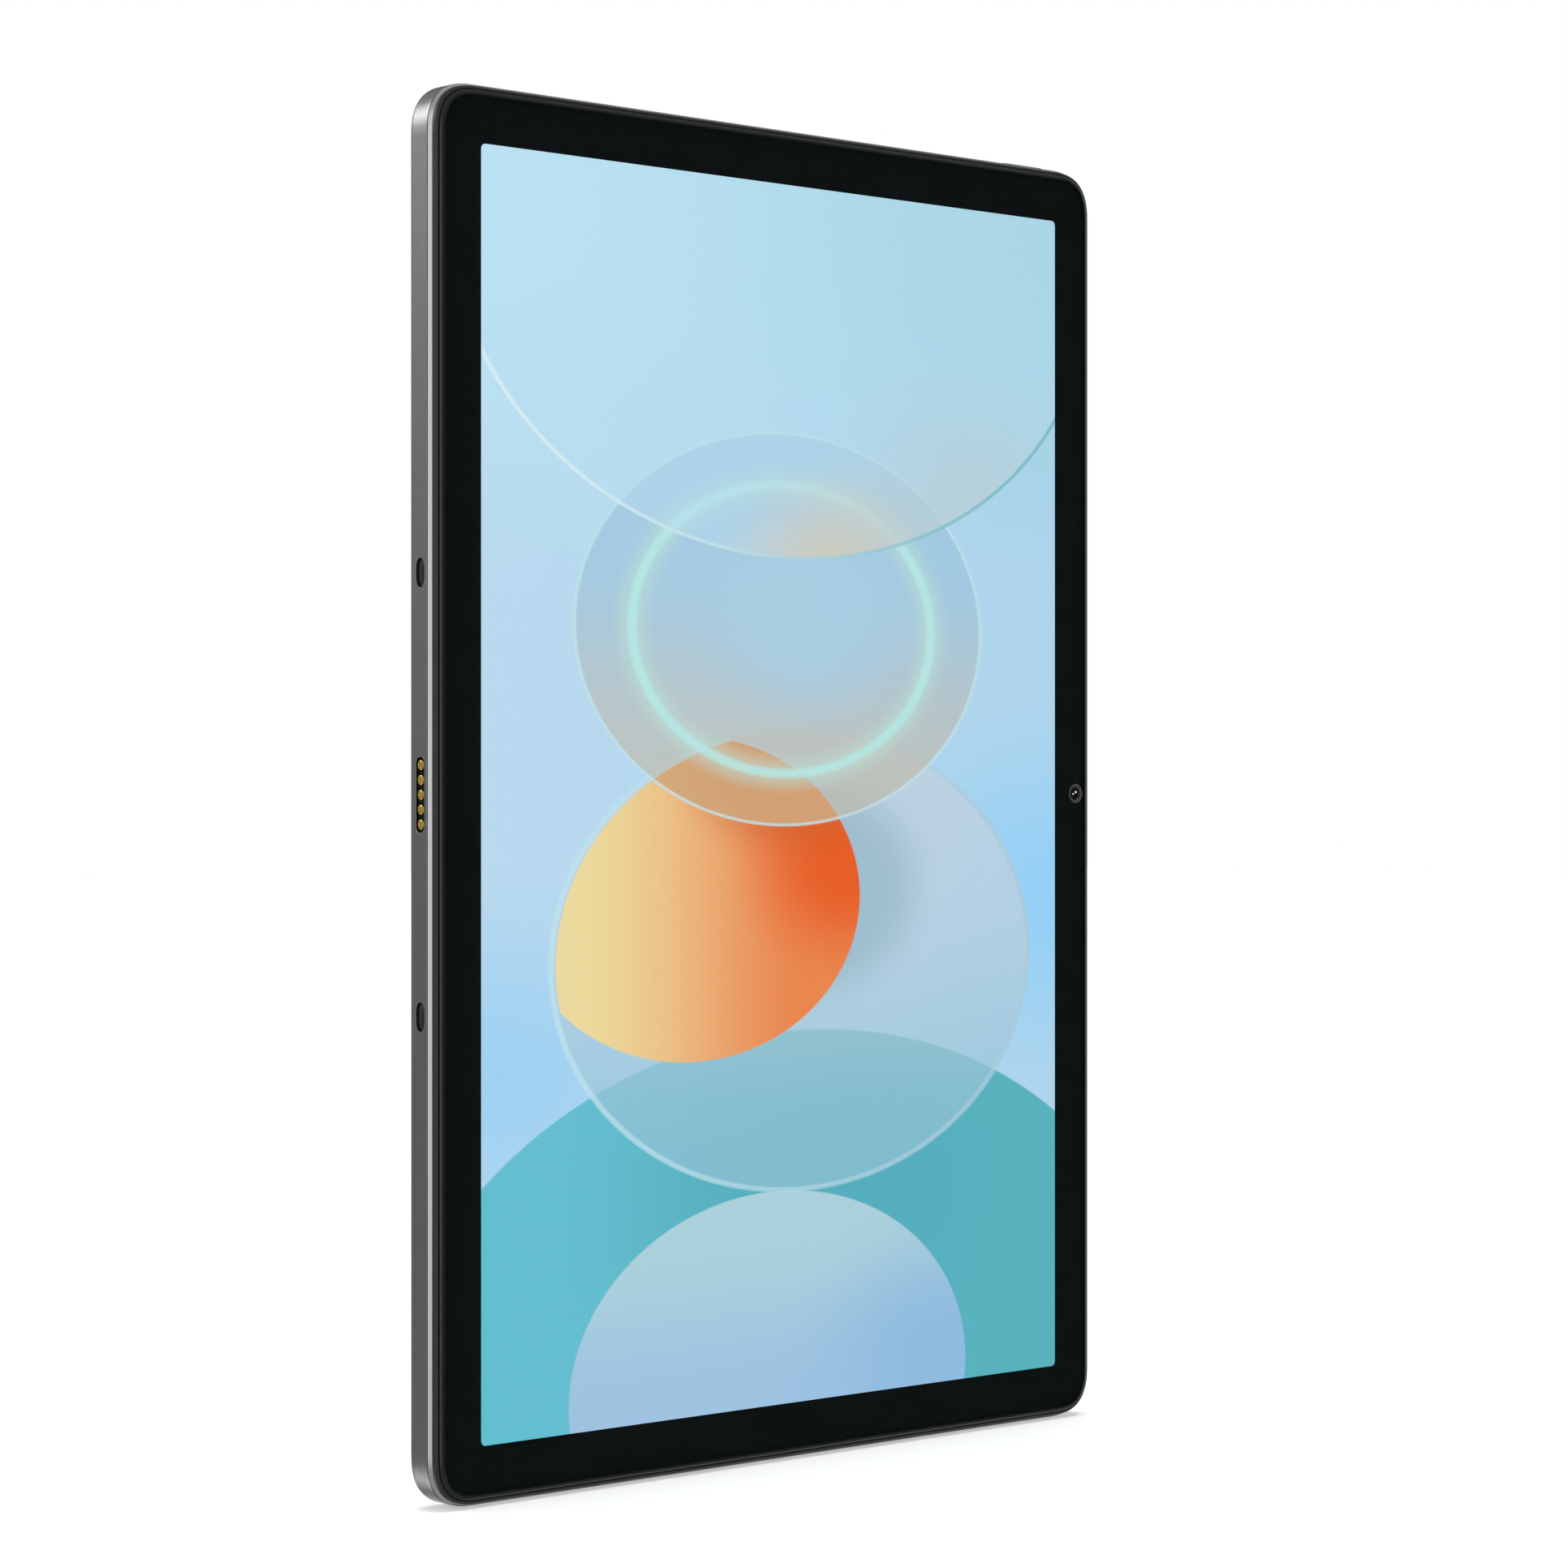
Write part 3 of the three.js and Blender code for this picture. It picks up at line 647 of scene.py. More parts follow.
# One material for each slot of the record, and some more for pieces that are made here.
MATERIALS = {
    "housing": anodised_metal("anodised_grey", rgb(158, 157, 157)),
    "bright_edge": cut_metal(),
    "black_rim": moulded("rim_black", rgb(26, 25, 27), 0.38, 0.48, 0.2 * MM, ior=1.62),
    "cover_glass": clear_glass(),
    "glass_edge": moulded("inked_glass_edge", rgb(20, 24, 25), 0.04, 0.08, 0.5 * MM),
    "border_ink": border_ink(),
    "display": display_picture(),
    "diffuser": light_guide(),
    "battery_pouch": pouch_foil(),
    "circuit_board": circuit_board(),
    "shield_tin": tinned_steel("shield_tin", rgb(206, 208, 210)),
    "contact_gold": gold_plate(),
    "ribbon": ribbon_film(),
    "dark_plastic": moulded("moulded_black", rgb(30, 30, 32), 0.42, 0.6, 0.3 * MM),
    "cup_plastic": moulded("locating_cup_grey", rgb(88, 88, 92), 0.42, 0.56, 0.3 * MM),
    "dock_plastic": moulded("dock_black", rgb(9, 11, 12), 0.55, 0.7, 0.3 * MM, gloss=0.12),
    "lens_glass": lens_glass(),
    "flash_plastic": flash_plastic(),
    "speaker_cloth": speaker_weave(),
    "magnet": tinned_steel("magnet_nickel", rgb(186, 188, 192), 0.25 * MM),
    "screw_steel": tinned_steel("screw_steel", rgb(92, 92, 97)),
    "camera_trim": camera_trim(),
    "camera_ring": anodised_metal("camera_ring_metal", rgb(176, 176, 178)),
    "lens_bead": lens_bead(),
}


def show(piece, slot, *nodes, look=None, body=BODY):
    """Finishes a piece: faces outwards, soft shading, a material, a body and the nodes it stands for."""
    face_out(piece)
    for polygon in piece.data.polygons:
        polygon.use_smooth = True
    normals = piece.modifiers.new("even_shading", "WEIGHTED_NORMAL")
    normals.keep_sharp = True
    normals.weight = 80
    piece.data.materials.clear()
    piece.data.materials.append(MATERIALS[look or slot])
    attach(piece, body)
    if nodes:
        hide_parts(*nodes)
    return piece


# ---- Camera ----
# The tablet is seen from the front left, nearly level with the middle of its display.
VIEW_TURN = radians(41.39)
CAMERA_LENS = 88.9  # focal length and sensor width, in millimetres
CAMERA_SENSOR = 36
CAMERA_OFFSET = Vector((-498.1 * MM, -564.0 * MM, 1.96 * MM))


def make_camera():
    data = bpy.data.cameras.new("camera")
    data.sensor_width = CAMERA_SENSOR
    data.lens = CAMERA_LENS
    camera = put("camera", data)
    camera.location = Vector((MIDDLE.x, FRONT, MIDDLE.z)) + CAMERA_OFFSET
    camera.rotation_euler = (QUARTER, 0, -VIEW_TURN)
    bpy.context.scene.camera = camera


make_camera()


# ---- Casing ----
# The axis that each side of the outline faces along, and which way.
OUTWARD = {"left": ("x", -1), "right": ("x", 1), "top": ("z", 1), "bottom": ("z", -1)}
LIP_STEPS = 4


def edge_point(side, place, y):
    """A point on one side of the outline. Place is its height on the left or right, and its x elsewhere."""
    axis, sign = OUTWARD[side]
    if axis == "x":
        return Vector((MIDDLE.x + sign * HALF_WIDTH, y, place))
    return Vector((place, y, MIDDLE.z + sign * HALF_HEIGHT))


def port(side, length, width, place, y, taper=1.0, lip=LIP):
    """A cutter for one opening in the wall, with a softly rounded mouth."""
    axis, sign = OUTWARD[side]
    centre = edge_point(side, place, y)
    face = centre.x if axis == "x" else centre.z
    flare = lip * 1.6
    profile = [(0.4 * MM, flare), (0.02 * MM, flare)]
    for step in range(1, LIP_STEPS + 1):
        angle = step / LIP_STEPS * QUARTER
        profile.append((-lip * sin(angle), lip * (1 - sin(angle)) * 0.9))
    profile.append((-WALL - PAST, 0.0))
    levels = [(face + sign * outward, -grow) for outward, grow in profile]
    return slot_piece("cutter", axis, centre, length, width, levels, taper=taper)


def rounded_lip(face, inward, radius, steps=LIP_STEPS):
    """(distance along, inset) pairs for the rounded end of a bar. Inward is 1 or -1, the way into the bar."""
    angles = [step / steps * QUARTER for step in range(steps + 1)]
    return [(face + inward * radius * (1 - cos(a)), radius * (1 - sin(a))) for a in angles]


def hole_size(node, axis):
    """How long and wide a node's round-ended face is, across an axis."""
    low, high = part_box(node)
    size = high - low
    return (size.z, size.y) if axis == "x" else (size.x, size.y)


def box_middle(node):
    low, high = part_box(node)
    return (low + high) / 2


def half_width(node):
    low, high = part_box(node)
    return (high.x - low.x) / 2


PORT_Y = box_middle("usb_c_shell").y
BUTTON_WIDTH = 2.4 * MM
POWER_LENGTH = 12 * MM
ROCKER_LENGTH = 22 * MM
LOCATING_TAPER = 1.5
DOCK_GAP = 0.1 * MM  # how much longer and wider the dock's three slots are than what fills them
PINHOLE = 1.0 * MM
SPEAKERS = [f"{edge}_{side}" for edge in ("top", "bottom") for side in ("left", "right")]
SPEAKER_SLOT = (6 * MM, 1.3 * MM)  # length and width
SPEAKER_SLOTS = 4
SPEAKER_PITCH = 7.6 * MM
REAR_CAMERA = box_middle("rear_camera_bezel")
REAR_CAMERA_RADIUS = half_width("rear_camera_bezel")
REAR_CAMERA_HOLE = REAR_CAMERA_RADIUS - 2.2 * MM
FLASH = box_middle("flash_lens")
FLASH_RADIUS = half_width("flash_lens")


def housing_cutters():
    usb_length, usb_width = hole_size("usb_c_shell", "z")
    tray_length, tray_width = hole_size("card_tray", "x")
    pogo_length, pogo_width = hole_size("pogo_insulator", "x")
    key_width = BUTTON_WIDTH + 2 * FIT
    flash_hole, flash_mouth = FLASH_RADIUS + 0.12 * MM, FLASH_RADIUS + 0.3 * MM
    cutters = [
        port("bottom", usb_length + 2 * FIT, usb_width + 2 * FIT, 0, PORT_Y),
        port("top", POWER_LENGTH + 2 * FIT, key_width, box_middle("power_button").x, PORT_Y),
        port("right", ROCKER_LENGTH + 2 * FIT, key_width, box_middle("volume_rocker").z, PORT_Y),
        port("right", tray_length + 2 * FIT, tray_width + 2 * FIT, box_middle("card_tray").z, PORT_Y),
        port("left", pogo_length + DOCK_GAP, pogo_width + DOCK_GAP, MIDDLE.z,
             box_middle("pogo_insulator").y, lip=DOCK_LIP),
        port("top", PINHOLE, PINHOLE, box_middle("microphone_top").x, PORT_Y),
        port("right", PINHOLE, PINHOLE, box_middle("microphone_side").z, PORT_Y),
        turned("cutter", "y", REAR_CAMERA, [(REAR_CAMERA_HOLE, end) for end in (FLOOR - PAST, BACK + PAST)]),
        turned("cutter", "y", FLASH, [(flash_hole, FLOOR - PAST), (flash_hole, BACK - 0.1 * MM),
                                      (flash_mouth, BACK + 0.08 * MM), (flash_mouth, BACK + PAST)]),
    ]
    for name in ("upper", "lower"):
        node = f"locating_liner_{name}"
        length, width = hole_size(node, "x")
        middle = box_middle(node)
        cutters.append(port("left", length + DOCK_GAP, width + DOCK_GAP, middle.z, middle.y,
                            taper=LOCATING_TAPER, lip=DOCK_LIP))
    for name in SPEAKERS:
        side = name.split("_")[0]
        for i in range(SPEAKER_SLOTS):
            offset = (i - (SPEAKER_SLOTS - 1) / 2) * SPEAKER_PITCH
            cutters.append(port(side, *SPEAKER_SLOT, box_middle(f"speaker_{name}").x + offset, PORT_Y))
    return cutters


CROWN_STEPS = 12


def make_housing():
    """The metal tray: walls round the outline, and a back that a quarter-round joins to them."""
    arc = []
    for step in range(CROWN_STEPS + 1):
        angle = step / CROWN_STEPS * QUARTER
        arc.append((BACK_ROUND * (1 - cos(angle)), BACK - BACK_ROUND * (1 - sin(angle))))
    slant = 0.6 * MM  # between the wall and the back, inside
    turns = [(FAR_IN, FLOOR), (WALL + slant, FLOOR), (WALL, FLOOR - slant), (WALL, WALL_TOP),
             (0, WALL_TOP), (0, WALL_TOP + 1 * MM)]
    profile = fillet(turns, (0, 0.3, 0.3, 0.1, 0.06, 0))[1:] + arc
    show(cut(sweep("rear_housing_shell", profile), housing_cutters()), "housing", "rear_housing")


make_housing()


# Insets of the frame's inner face and of the edge of its plate.
FRAME_INNER = 2.7 * MM
PLATE_EDGE = 2.0 * MM
PLATE_FRONT = FRONT + 2.5 * MM
CAMERA_HOLE = 1.7 * MM  # radius in the plate behind the display


def make_mid_frame():
    """The plate behind the display and the frame round it, with its bright chamfer."""
    turns = [(FAR_IN, PLATE_FRONT), (FRAME_INNER, PLATE_FRONT), (FRAME_INNER, FRAME_LOW.y),
             (CHAMFER, FRAME_LOW.y), (0, CHAMFER_FOOT), (PLATE_EDGE, CHAMFER_FOOT),
             (PLATE_EDGE, FRAME_HIGH.y), (FAR_IN, FRAME_HIGH.y)]
    profile = fillet(turns, (0, 0.1, 0.1, 0.09, 0.05, 0.1, 0.1, 0))[1:-1]
    camera_hole = turned("cutter", "y", box_middle("front_camera_lens"),
                         [(CAMERA_HOLE, PLATE_FRONT - PAST), (CAMERA_HOLE, FRAME_HIGH.y + PAST)])
    show(cut(sweep("mid_frame_edge", profile), [camera_hole]), "bright_edge", "mid_frame")


make_mid_frame()


# Insets of the rim's outer face, of the inner lip of its crown, and of the ledge under the glass.
RIM_OUTER = 0.5 * MM
RIM_LIP = 1.22 * MM
RIM_LEDGE = 2.3 * MM
RIM_LEDGE_TOP = FRONT + 0.8 * MM
CROWN_POWER = 2.5  # 2 would make the rim's crown a plain ellipse


def make_front_rim():
    """The black rim: a full crown outside, and a ledge that the glass lies on."""
    height = RIM_HIGH.y - RIM_LOW.y
    crown = []
    for step in range(CROWN_STEPS + 1):
        angle = step / CROWN_STEPS * QUARTER
        across = sin(angle) ** (2 / CROWN_POWER)
        down = 1 - max(cos(angle), 0) ** (2 / CROWN_POWER)
        crown.append((RIM_LIP - (RIM_LIP - RIM_OUTER) * across, RIM_LOW.y + height * down))
    turns = [crown[-1], (RIM_LEDGE, RIM_HIGH.y), (RIM_LEDGE, RIM_LEDGE_TOP), (RIM_LIP, RIM_LEDGE_TOP),
             crown[0]]
    foot = fillet(turns, (0, 0.1, 0.1, 0.05, 0))[1:-1]
    show(sweep("front_rim_trim", crown + foot, ring=True), "black_rim", "front_rim")


make_front_rim()


GLASS_EDGE = 1.3 * MM  # inset of the sheet's edge
GLASS_REACH = 1.1 * MM  # how wide its curve is, and how deep
GLASS_DROP = 0.45 * MM
GLASS_STEPS = 14
FLAT = 0.9999  # a face of the sheet whose normal is nearer to the y axis than this is clear


def make_cover_glass():
    """The glass sheet, its edge falling away in a soft curve."""
    profile = []
    for step in range(GLASS_STEPS + 1):
        angle = step / GLASS_STEPS * QUARTER
        inset = GLASS_EDGE + GLASS_REACH * (1 - sin(angle))
        profile.append((inset, FRONT + GLASS_DROP * (1 - cos(angle))))
    turns = [(GLASS_EDGE, FRONT + GLASS_DROP), (GLASS_EDGE, GLASS_HIGH.y), (FAR_IN, GLASS_HIGH.y)]
    profile += fillet(turns, (0, 0.06, 0))[1:-1]
    glass = show(sweep("cover_glass_sheet", profile), "cover_glass", "cover_glass")
    glass.data.materials.append(MATERIALS["glass_edge"])
    for polygon in glass.data.polygons:
        polygon.material_index = int(abs(polygon.normal.y) < FLAT)


make_cover_glass()


PRINT_EDGE = 1.36 * MM
PRINT_WINDOW = 2.0 * MM  # radius of its window for the camera


def make_border_print():
    """The black print behind the glass: a thin frame round the picture, with a window for the camera."""
    front, back = GLASS_HIGH.y + 0.012 * MM, GLASS_HIGH.y + 0.03 * MM
    outer = outline(PRINT_EDGE)
    inner = rounded_rectangle(*PICTURE_HALF, PICTURE_CORNER)
    loops = [[(x, y, z) for x, z in loop] for loop, y in
             ((inner, front), (outer, front), (outer, back), (inner, back))]
    window = turned("cutter", "y", box_middle("front_camera_lens"),
                    [(PRINT_WINDOW, front - PAST), (PRINT_WINDOW, back + PAST)])
    show(cut(loft("border_print", loops, ring=True), [window]), "dark_plastic", look="border_ink")


make_border_print()


show(block("display_picture", PANEL_LOW, PANEL_HIGH, 0.2 * MM), "display", "display_panel")


# ---- Dock contacts ----
PAD_SHARE = 0.94  # how much of its node's radius each contact takes up
PAD_CENTRE = 0.62  # share of a contact's radius that lies flat, over a well in the insulator
PAD_STEM = 0.35 * MM
CUP_WALL = 0.3 * MM
# How far in from the mouth of each locating cup the black band of painted shade reaches.
CUP_MOUTH_SHADE = 0.3 * MM


def make_dock_contact(number):
    """Makes one gold contact, and gives the cutter for the well behind it."""
    node = f"pogo_pad_{number}"
    low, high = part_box(node)
    middle = (low + high) / 2
    radius = (high.z - low.z) / 2 * PAD_SHARE
    face = low.x
    profile = [(radius * 0.30, face + 0.015 * MM), (radius * PAD_CENTRE, face),
               (radius * 0.86, face + 0.01 * MM), (radius * 0.97, face + 0.05 * MM),
               (radius, face + 0.12 * MM), (radius, face + 0.25 * MM),
               (PAD_STEM, face + 0.27 * MM), (PAD_STEM, high.x)]
    show(turned(f"dock_contact_{number}", "x", middle, profile, 48), "contact_gold", node)
    dock_low, dock_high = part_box("pogo_insulator")
    well = radius * PAD_CENTRE
    return turned("cutter", "x", middle, [(well, dock_low.x - PAST), (well, dock_high.x + PAST)])


def make_locating_cup(place):
    """The liner of one locating slot: grey on its walls and floor, with a black band of painted shade at its
    mouth.
    """
    node = f"locating_liner_{place}"
    low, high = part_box(node)
    length, width = hole_size(node, "x")
    profile = [(high.x, 0.05 * MM), (high.x - 0.05 * MM, 0), (low.x + 0.1 * MM, 0), (low.x, 0.1 * MM),
               (low.x + 0.02 * MM, 0.2 * MM), (low.x + 0.15 * MM, CUP_WALL), (low.x + 0.4 * MM, CUP_WALL),
               (high.x - 0.6 * MM, CUP_WALL), (high.x - 0.45 * MM, CUP_WALL + 0.15 * MM)]
    cup = slot_piece(f"locating_cup_{place}", "x", box_middle(node), length, width, profile,
                     taper=LOCATING_TAPER)
    show(cup, "dark_plastic", node, look="cup_plastic")
    cup.data.materials.append(MATERIALS["dock_plastic"])
    # Faces near the mouth take the black dock plastic: painted shade for the shadow under the slot's edge.
    for polygon in cup.data.polygons:
        polygon.material_index = int(polygon.center.x < low.x + CUP_MOUTH_SHADE)


def make_dock():
    low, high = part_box("pogo_insulator")
    length, width = hole_size("pogo_insulator", "x")
    profile = rounded_lip(low.x, 1, 0.12 * MM) + [(high.x, 0.0)]
    insulator = slot_piece("dock_insulator", "x", (low + high) / 2, length, width, profile)
    wells = [make_dock_contact(number) for number in range(1, 6)]
    show(cut(insulator, wells), "dark_plastic", "pogo_insulator", look="dock_plastic")
    make_locating_cup("upper")
    make_locating_cup("lower")


make_dock()


# ---- Front camera ----
CAMERA_TRIM_INNER = 1.42 * MM
LENS_RADIUS = 1.3 * MM
LENS_FLOOR = 1.08 * MM  # radius of the flat floor of the dished lens
LENS_DISH = 0.22 * MM
# The lens's inner elements: x and z from its middle, and radius, in millimetres.
ELEMENTS = ((0.21, 0.27, 0.27), (-0.56, -0.11, 0.21))
ELEMENT_TILT = radians(34)
ELEMENT_STAND = 0.07 * MM
ELEMENT_CROWN = 0.16  # height of an element's crown, in radii


def make_lens_element(place, radius):
    """A shallow dome, tilted towards the left."""
    profile = []
    for step in range(9):
        angle = radians(2 + 11 * step)
        crown = place.y - radius * ELEMENT_CROWN * cos(angle) * MM
        profile.append((radius * sin(angle) * MM, crown))
    profile.append((radius * MM, place.y + 0.06 * MM))
    element = turned("element", "y", place, profile, 32)
    tilt = Matrix.Translation(place) @ Matrix.Rotation(-ELEMENT_TILT, 4, "Z") @ Matrix.Translation(-place)
    element.data.transform(tilt)
    return element


def make_front_camera():
    """The ring, a dished lens with a raised edge, and two bright elements that stand on its floor."""
    low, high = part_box("front_camera_ring")
    inner, outer = CAMERA_TRIM_INNER, half_width("front_camera_ring")
    turns = [(inner, low.y + 0.08 * MM), (inner + 0.2 * MM, low.y), (outer, low.y), (outer, high.y),
             (inner, high.y)]
    centre = (low + high) / 2
    trim = turned("front_camera_trim", "y", centre, fillet(turns, [0.02] * 5, ring=True), 72, ring=True)
    show(trim, "dark_plastic", "front_camera_ring", look="camera_trim")
    low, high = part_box("front_camera_lens")
    floor = low.y + LENS_DISH
    profile = [(radius, floor) for radius in mm(0.02, 0.6, 1.02)] + [(LENS_FLOOR, floor)]
    turns = [(LENS_FLOOR, floor), (1.16 * MM, low.y), (LENS_RADIUS, low.y), (LENS_RADIUS, high.y)]
    profile += fillet(turns, (0, 0.03, 0.03, 0))[1:]
    show(turned("front_camera_glass", "y", centre, profile, 64), "lens_glass", "front_camera_lens")
    elements = []
    for x, z, radius in ELEMENTS:
        place = Vector((centre.x + x * MM, floor - ELEMENT_STAND, centre.z + z * MM))
        elements.append(make_lens_element(place, radius))
    show(merge("front_camera_elements", elements), "lens_glass", look="lens_bead")


make_front_camera()


# ---- Rear camera and flash ----
RING_INNER = 4.7 * MM  # inside the raised ring, above the step that its lens lies on
RING_SEAT = 4 * MM
COVER_RADIUS = 4.5 * MM
# The barrel behind the cover, as a radius and a depth below its front, in millimetres.
BARREL = ((3.6, 0), (3.1, 0), (2.9, 0.35), (2.5, 0.35), (2.3, 0.75), (1.9, 0.75), (1.7, 1.1), (1.2, 1.1))
REAR_LENS = 1.68 * MM
DOME_STEPS = 10
DOME_SWEEP = 0.95  # the dome stops just short of its tip


def make_rear_camera():
    low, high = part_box("rear_camera_bezel")
    radius = REAR_CAMERA_RADIUS
    turns = [(RING_SEAT, low.y), (radius - 2.5 * MM, low.y), (radius - 2.5 * MM, BACK + 0.03 * MM),
             (radius, BACK + 0.03 * MM), (radius, high.y - 0.3 * MM), (radius - 0.3 * MM, high.y),
             (4.95 * MM, high.y), (RING_INNER, high.y - 0.25 * MM), (RING_INNER, BACK + 0.15 * MM),
             (RING_SEAT, BACK + 0.15 * MM)]
    radii = (0.05, 0.1, 0.05, 0.05, 0.12, 0.12, 0.06, 0.06, 0.05, 0.1)
    ring = turned("rear_camera_ring", "y", REAR_CAMERA, fillet(turns, radii, ring=True), 96, ring=True)
    show(ring, "housing", "rear_camera_bezel", look="camera_ring")

    low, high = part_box("rear_camera_lens")
    turns = [(0.5 * MM, low.y), (COVER_RADIUS, low.y), (COVER_RADIUS, high.y), (0.5 * MM, high.y)]
    cover = turned("rear_camera_cover", "y", REAR_CAMERA, fillet(turns, (0, 0.05, 0.12, 0)), 96)
    show(cover, "lens_glass", "rear_camera_lens", look="cover_glass")

    low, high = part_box("rear_camera_module")
    module = block("rear_camera_optics", low, Vector((high.x, FLOOR - 0.1 * MM, high.z)), 0.4 * MM)
    steps = [(r * MM, high.y - deep * MM) for r, deep in BARREL]
    barrel = turned("barrel", "y", REAR_CAMERA, [(steps[0][0], FLOOR - PAST)] + steps, 72)
    show(join(module, [barrel]), "dark_plastic", "rear_camera_module")
    dome = [(REAR_LENS, high.y - 1.08 * MM)]
    for step in range(DOME_STEPS + 1):
        angle = step / DOME_STEPS * QUARTER * DOME_SWEEP
        dome.append((REAR_LENS * cos(angle), high.y - 1.02 * MM + 0.35 * MM * sin(angle)))
    show(turned("rear_camera_element", "y", REAR_CAMERA, dome, 64), "lens_glass")


FLASH_RINGS = 9


def make_flash():
    """The flash window, its front cut into fine rings."""
    low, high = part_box("flash_lens")
    front = high.y - 0.02 * MM
    profile = [(FLASH_RADIUS - 0.05 * MM, low.y), (FLASH_RADIUS, low.y + 0.05 * MM),
               (FLASH_RADIUS, high.y - 0.1 * MM), (FLASH_RADIUS - 0.1 * MM, front)]
    for ring in range(FLASH_RINGS):
        outer = (FLASH_RADIUS - 0.35 * MM) * (1 - ring / FLASH_RINGS)
        profile += [(outer, front), (outer - 0.02 * MM, high.y - 0.14 * MM)]
    profile.append((0.05 * MM, high.y - 0.04 * MM))
    show(turned("flash_window", "y", FLASH, profile, 64), "flash_plastic", "flash_lens")


make_rear_camera()
make_flash()


# ---- Buttons and card tray ----
def make_key(name, node, side, length):
    """A round-ended key on the top or the right, with its flange behind the wall. Its node names its body."""
    axis, _ = OUTWARD[side]
    index = "xyz".index(axis)
    low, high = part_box(node)
    wall = edge_point(side, 0, 0)[index]
    levels = rounded_lip(high[index], -1, 0.22 * MM, 5) + [(wall - 2.25 * MM, 0.0)]
    key = slot_piece(name, axis, (low + high) / 2, length, BUTTON_WIDTH, levels)
    flange_high = high.copy()
    flange_high[index] = wall - 2.2 * MM
    show(join(key, [block("flange", low, flange_high, 0.12 * MM)]), "housing", node, body=node)


TRAY_PLATE = 1.45 * MM  # thickness of the tray's outer plate
TRAY_EJECT = 6.35 * MM  # from the tray's middle up to its pinhole


def make_card_tray():
    """The outer plate with its pinhole, and the bed behind it with a pocket for the card."""
    low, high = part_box("card_tray")
    length, width = hole_size("card_tray", "x")
    centre = (low + high) / 2
    centre.y = PORT_Y
    face = high.x
    levels = rounded_lip(face, -1, 0.12 * MM) + [(face - TRAY_PLATE, 0.0)]
    plate = slot_piece("card_tray_piece", "x", centre, length, width, levels)
    bed_low = Vector((low.x, -0.4 * MM, centre.z - 6.8 * MM))
    bed_high = Vector((face - 1.3 * MM, 0.8 * MM, centre.z + 5.4 * MM))
    tray = join(plate, [block("bed", bed_low, bed_high, 0.15 * MM)])
    pocket = block("pocket", bed_low + Vector(mm(0.5, 0.4, 0.5)),
                   Vector((low.x + 15.5 * MM, 2 * MM, bed_high.z - 0.5 * MM)), 0.2 * MM)
    pin = edge_point("right", centre.z + TRAY_EJECT, PORT_Y)
    wide, narrow = mm(0.55, 0.45)
    pinhole = turned("cutter", "x", pin, [(wide, face + PAST), (wide, face), (narrow, face - 0.1 * MM),
                                          (narrow, face - 3 * MM)], 32)
    show(cut(tray, [pocket, pinhole]), "housing", "card_tray", body="card_tray")


make_key("power_key", "power_button", "top", POWER_LENGTH)
make_key("volume_key", "volume_rocker", "right", ROCKER_LENGTH)
make_card_tray()


# ---- Charging socket ----
SHELL_WALL = 0.3 * MM
TONGUE_HALF = (3.35 * MM, 0.33 * MM)
TONGUE_END = 7 * MM  # heights above the ground where the tongue ends, and where its thicker root starts
ROOT_START = 6.5 * MM
ROOT_HALF = 0.9 * MM
CONTACTS = 12  # on each face of the tongue
CONTACT_PITCH = 0.5 * MM


def make_socket():
    """The metal shell, the tongue inside it, and the contacts on the tongue."""
    low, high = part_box("usb_c_shell")
    length, width = hole_size("usb_c_shell", "z")
    profile = [(low.z + 0.08 * MM, 0), (high.z, 0), (high.z, SHELL_WALL), (low.z + 0.12 * MM, SHELL_WALL),
               (low.z + 0.02 * MM, SHELL_WALL * 0.75), (low.z, SHELL_WALL * 0.5),
               (low.z + 0.02 * MM, SHELL_WALL * 0.2)]
    shell = slot_piece("charging_socket_shell", "z", (low + high) / 2, length, width, profile, ring=True)
    show(shell, "shield_tin", "usb_c_shell")
    low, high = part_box("usb_c_tongue")
    half_x, half_y = TONGUE_HALF
    blade = block("charging_socket_tongue", (-half_x, PORT_Y - half_y, low.z),
                  (half_x, PORT_Y + half_y, TONGUE_END), 0.12 * MM)
    root = block("root", (low.x, PORT_Y - ROOT_HALF, ROOT_START),
                 (high.x, PORT_Y + ROOT_HALF, high.z), 0.1 * MM)
    show(join(blade, [root]), "dark_plastic", "usb_c_tongue")
    contacts = []
    for face in (-1, 1):
        for i in range(CONTACTS):
            x = (i - (CONTACTS - 1) / 2) * CONTACT_PITCH
            y = PORT_Y + face * 0.34 * MM
            contacts.append(block("contact", (x - 0.12 * MM, y - 0.02 * MM, low.z + 0.5 * MM),
                                  (x + 0.12 * MM, y + 0.02 * MM, 6.2 * MM), 0.015 * MM, steps=1))
    show(merge("charging_socket_contacts", contacts), "contact_gold")


make_socket()


# ---- Everything that stays as the frame gives it ----
def dress_frame_nodes():
    """Gives every node that the frame brings the material of its slot."""
    slots = {entry["node"]: entry["material_slot"] for entry in frame["record"]["subparts"]}
    for name, piece in frame["nodes"].items():
        piece.data.materials.clear()
        piece.data.materials.append(MATERIALS[slots[name]])


dress_frame_nodes()


# ---- Floor and light ----
def make_floor():
    """A pale plain, just under the tablet."""
    reach = 4.0
    around = [(-reach, -reach, 0), (reach, -reach, 0), (reach, reach, 0), (-reach, reach, 0)]
    floor = mesh_piece("floor", around, [(0, 1, 2, 3)])
    floor.location.z = -0.2 * MM
    look = Look("pale_floor", Specular_IOR_Level=0.0, Roughness=0.9,
                Emission_Color=rgb(255, 255, 255), Emission_Strength=0.4)
    mottle = look.noise(0.05, detail=3.0)
    look.set(Base_Color=look.mix(mottle, rgb(238, 238, 238), rgb(241, 241, 241)))
    floor.data.materials.append(look.material)
    # Polished surfaces mirror the studio's walls below the horizon, not the pale floor.
    floor.visible_glossy = False
    floor.visible_transmission = False


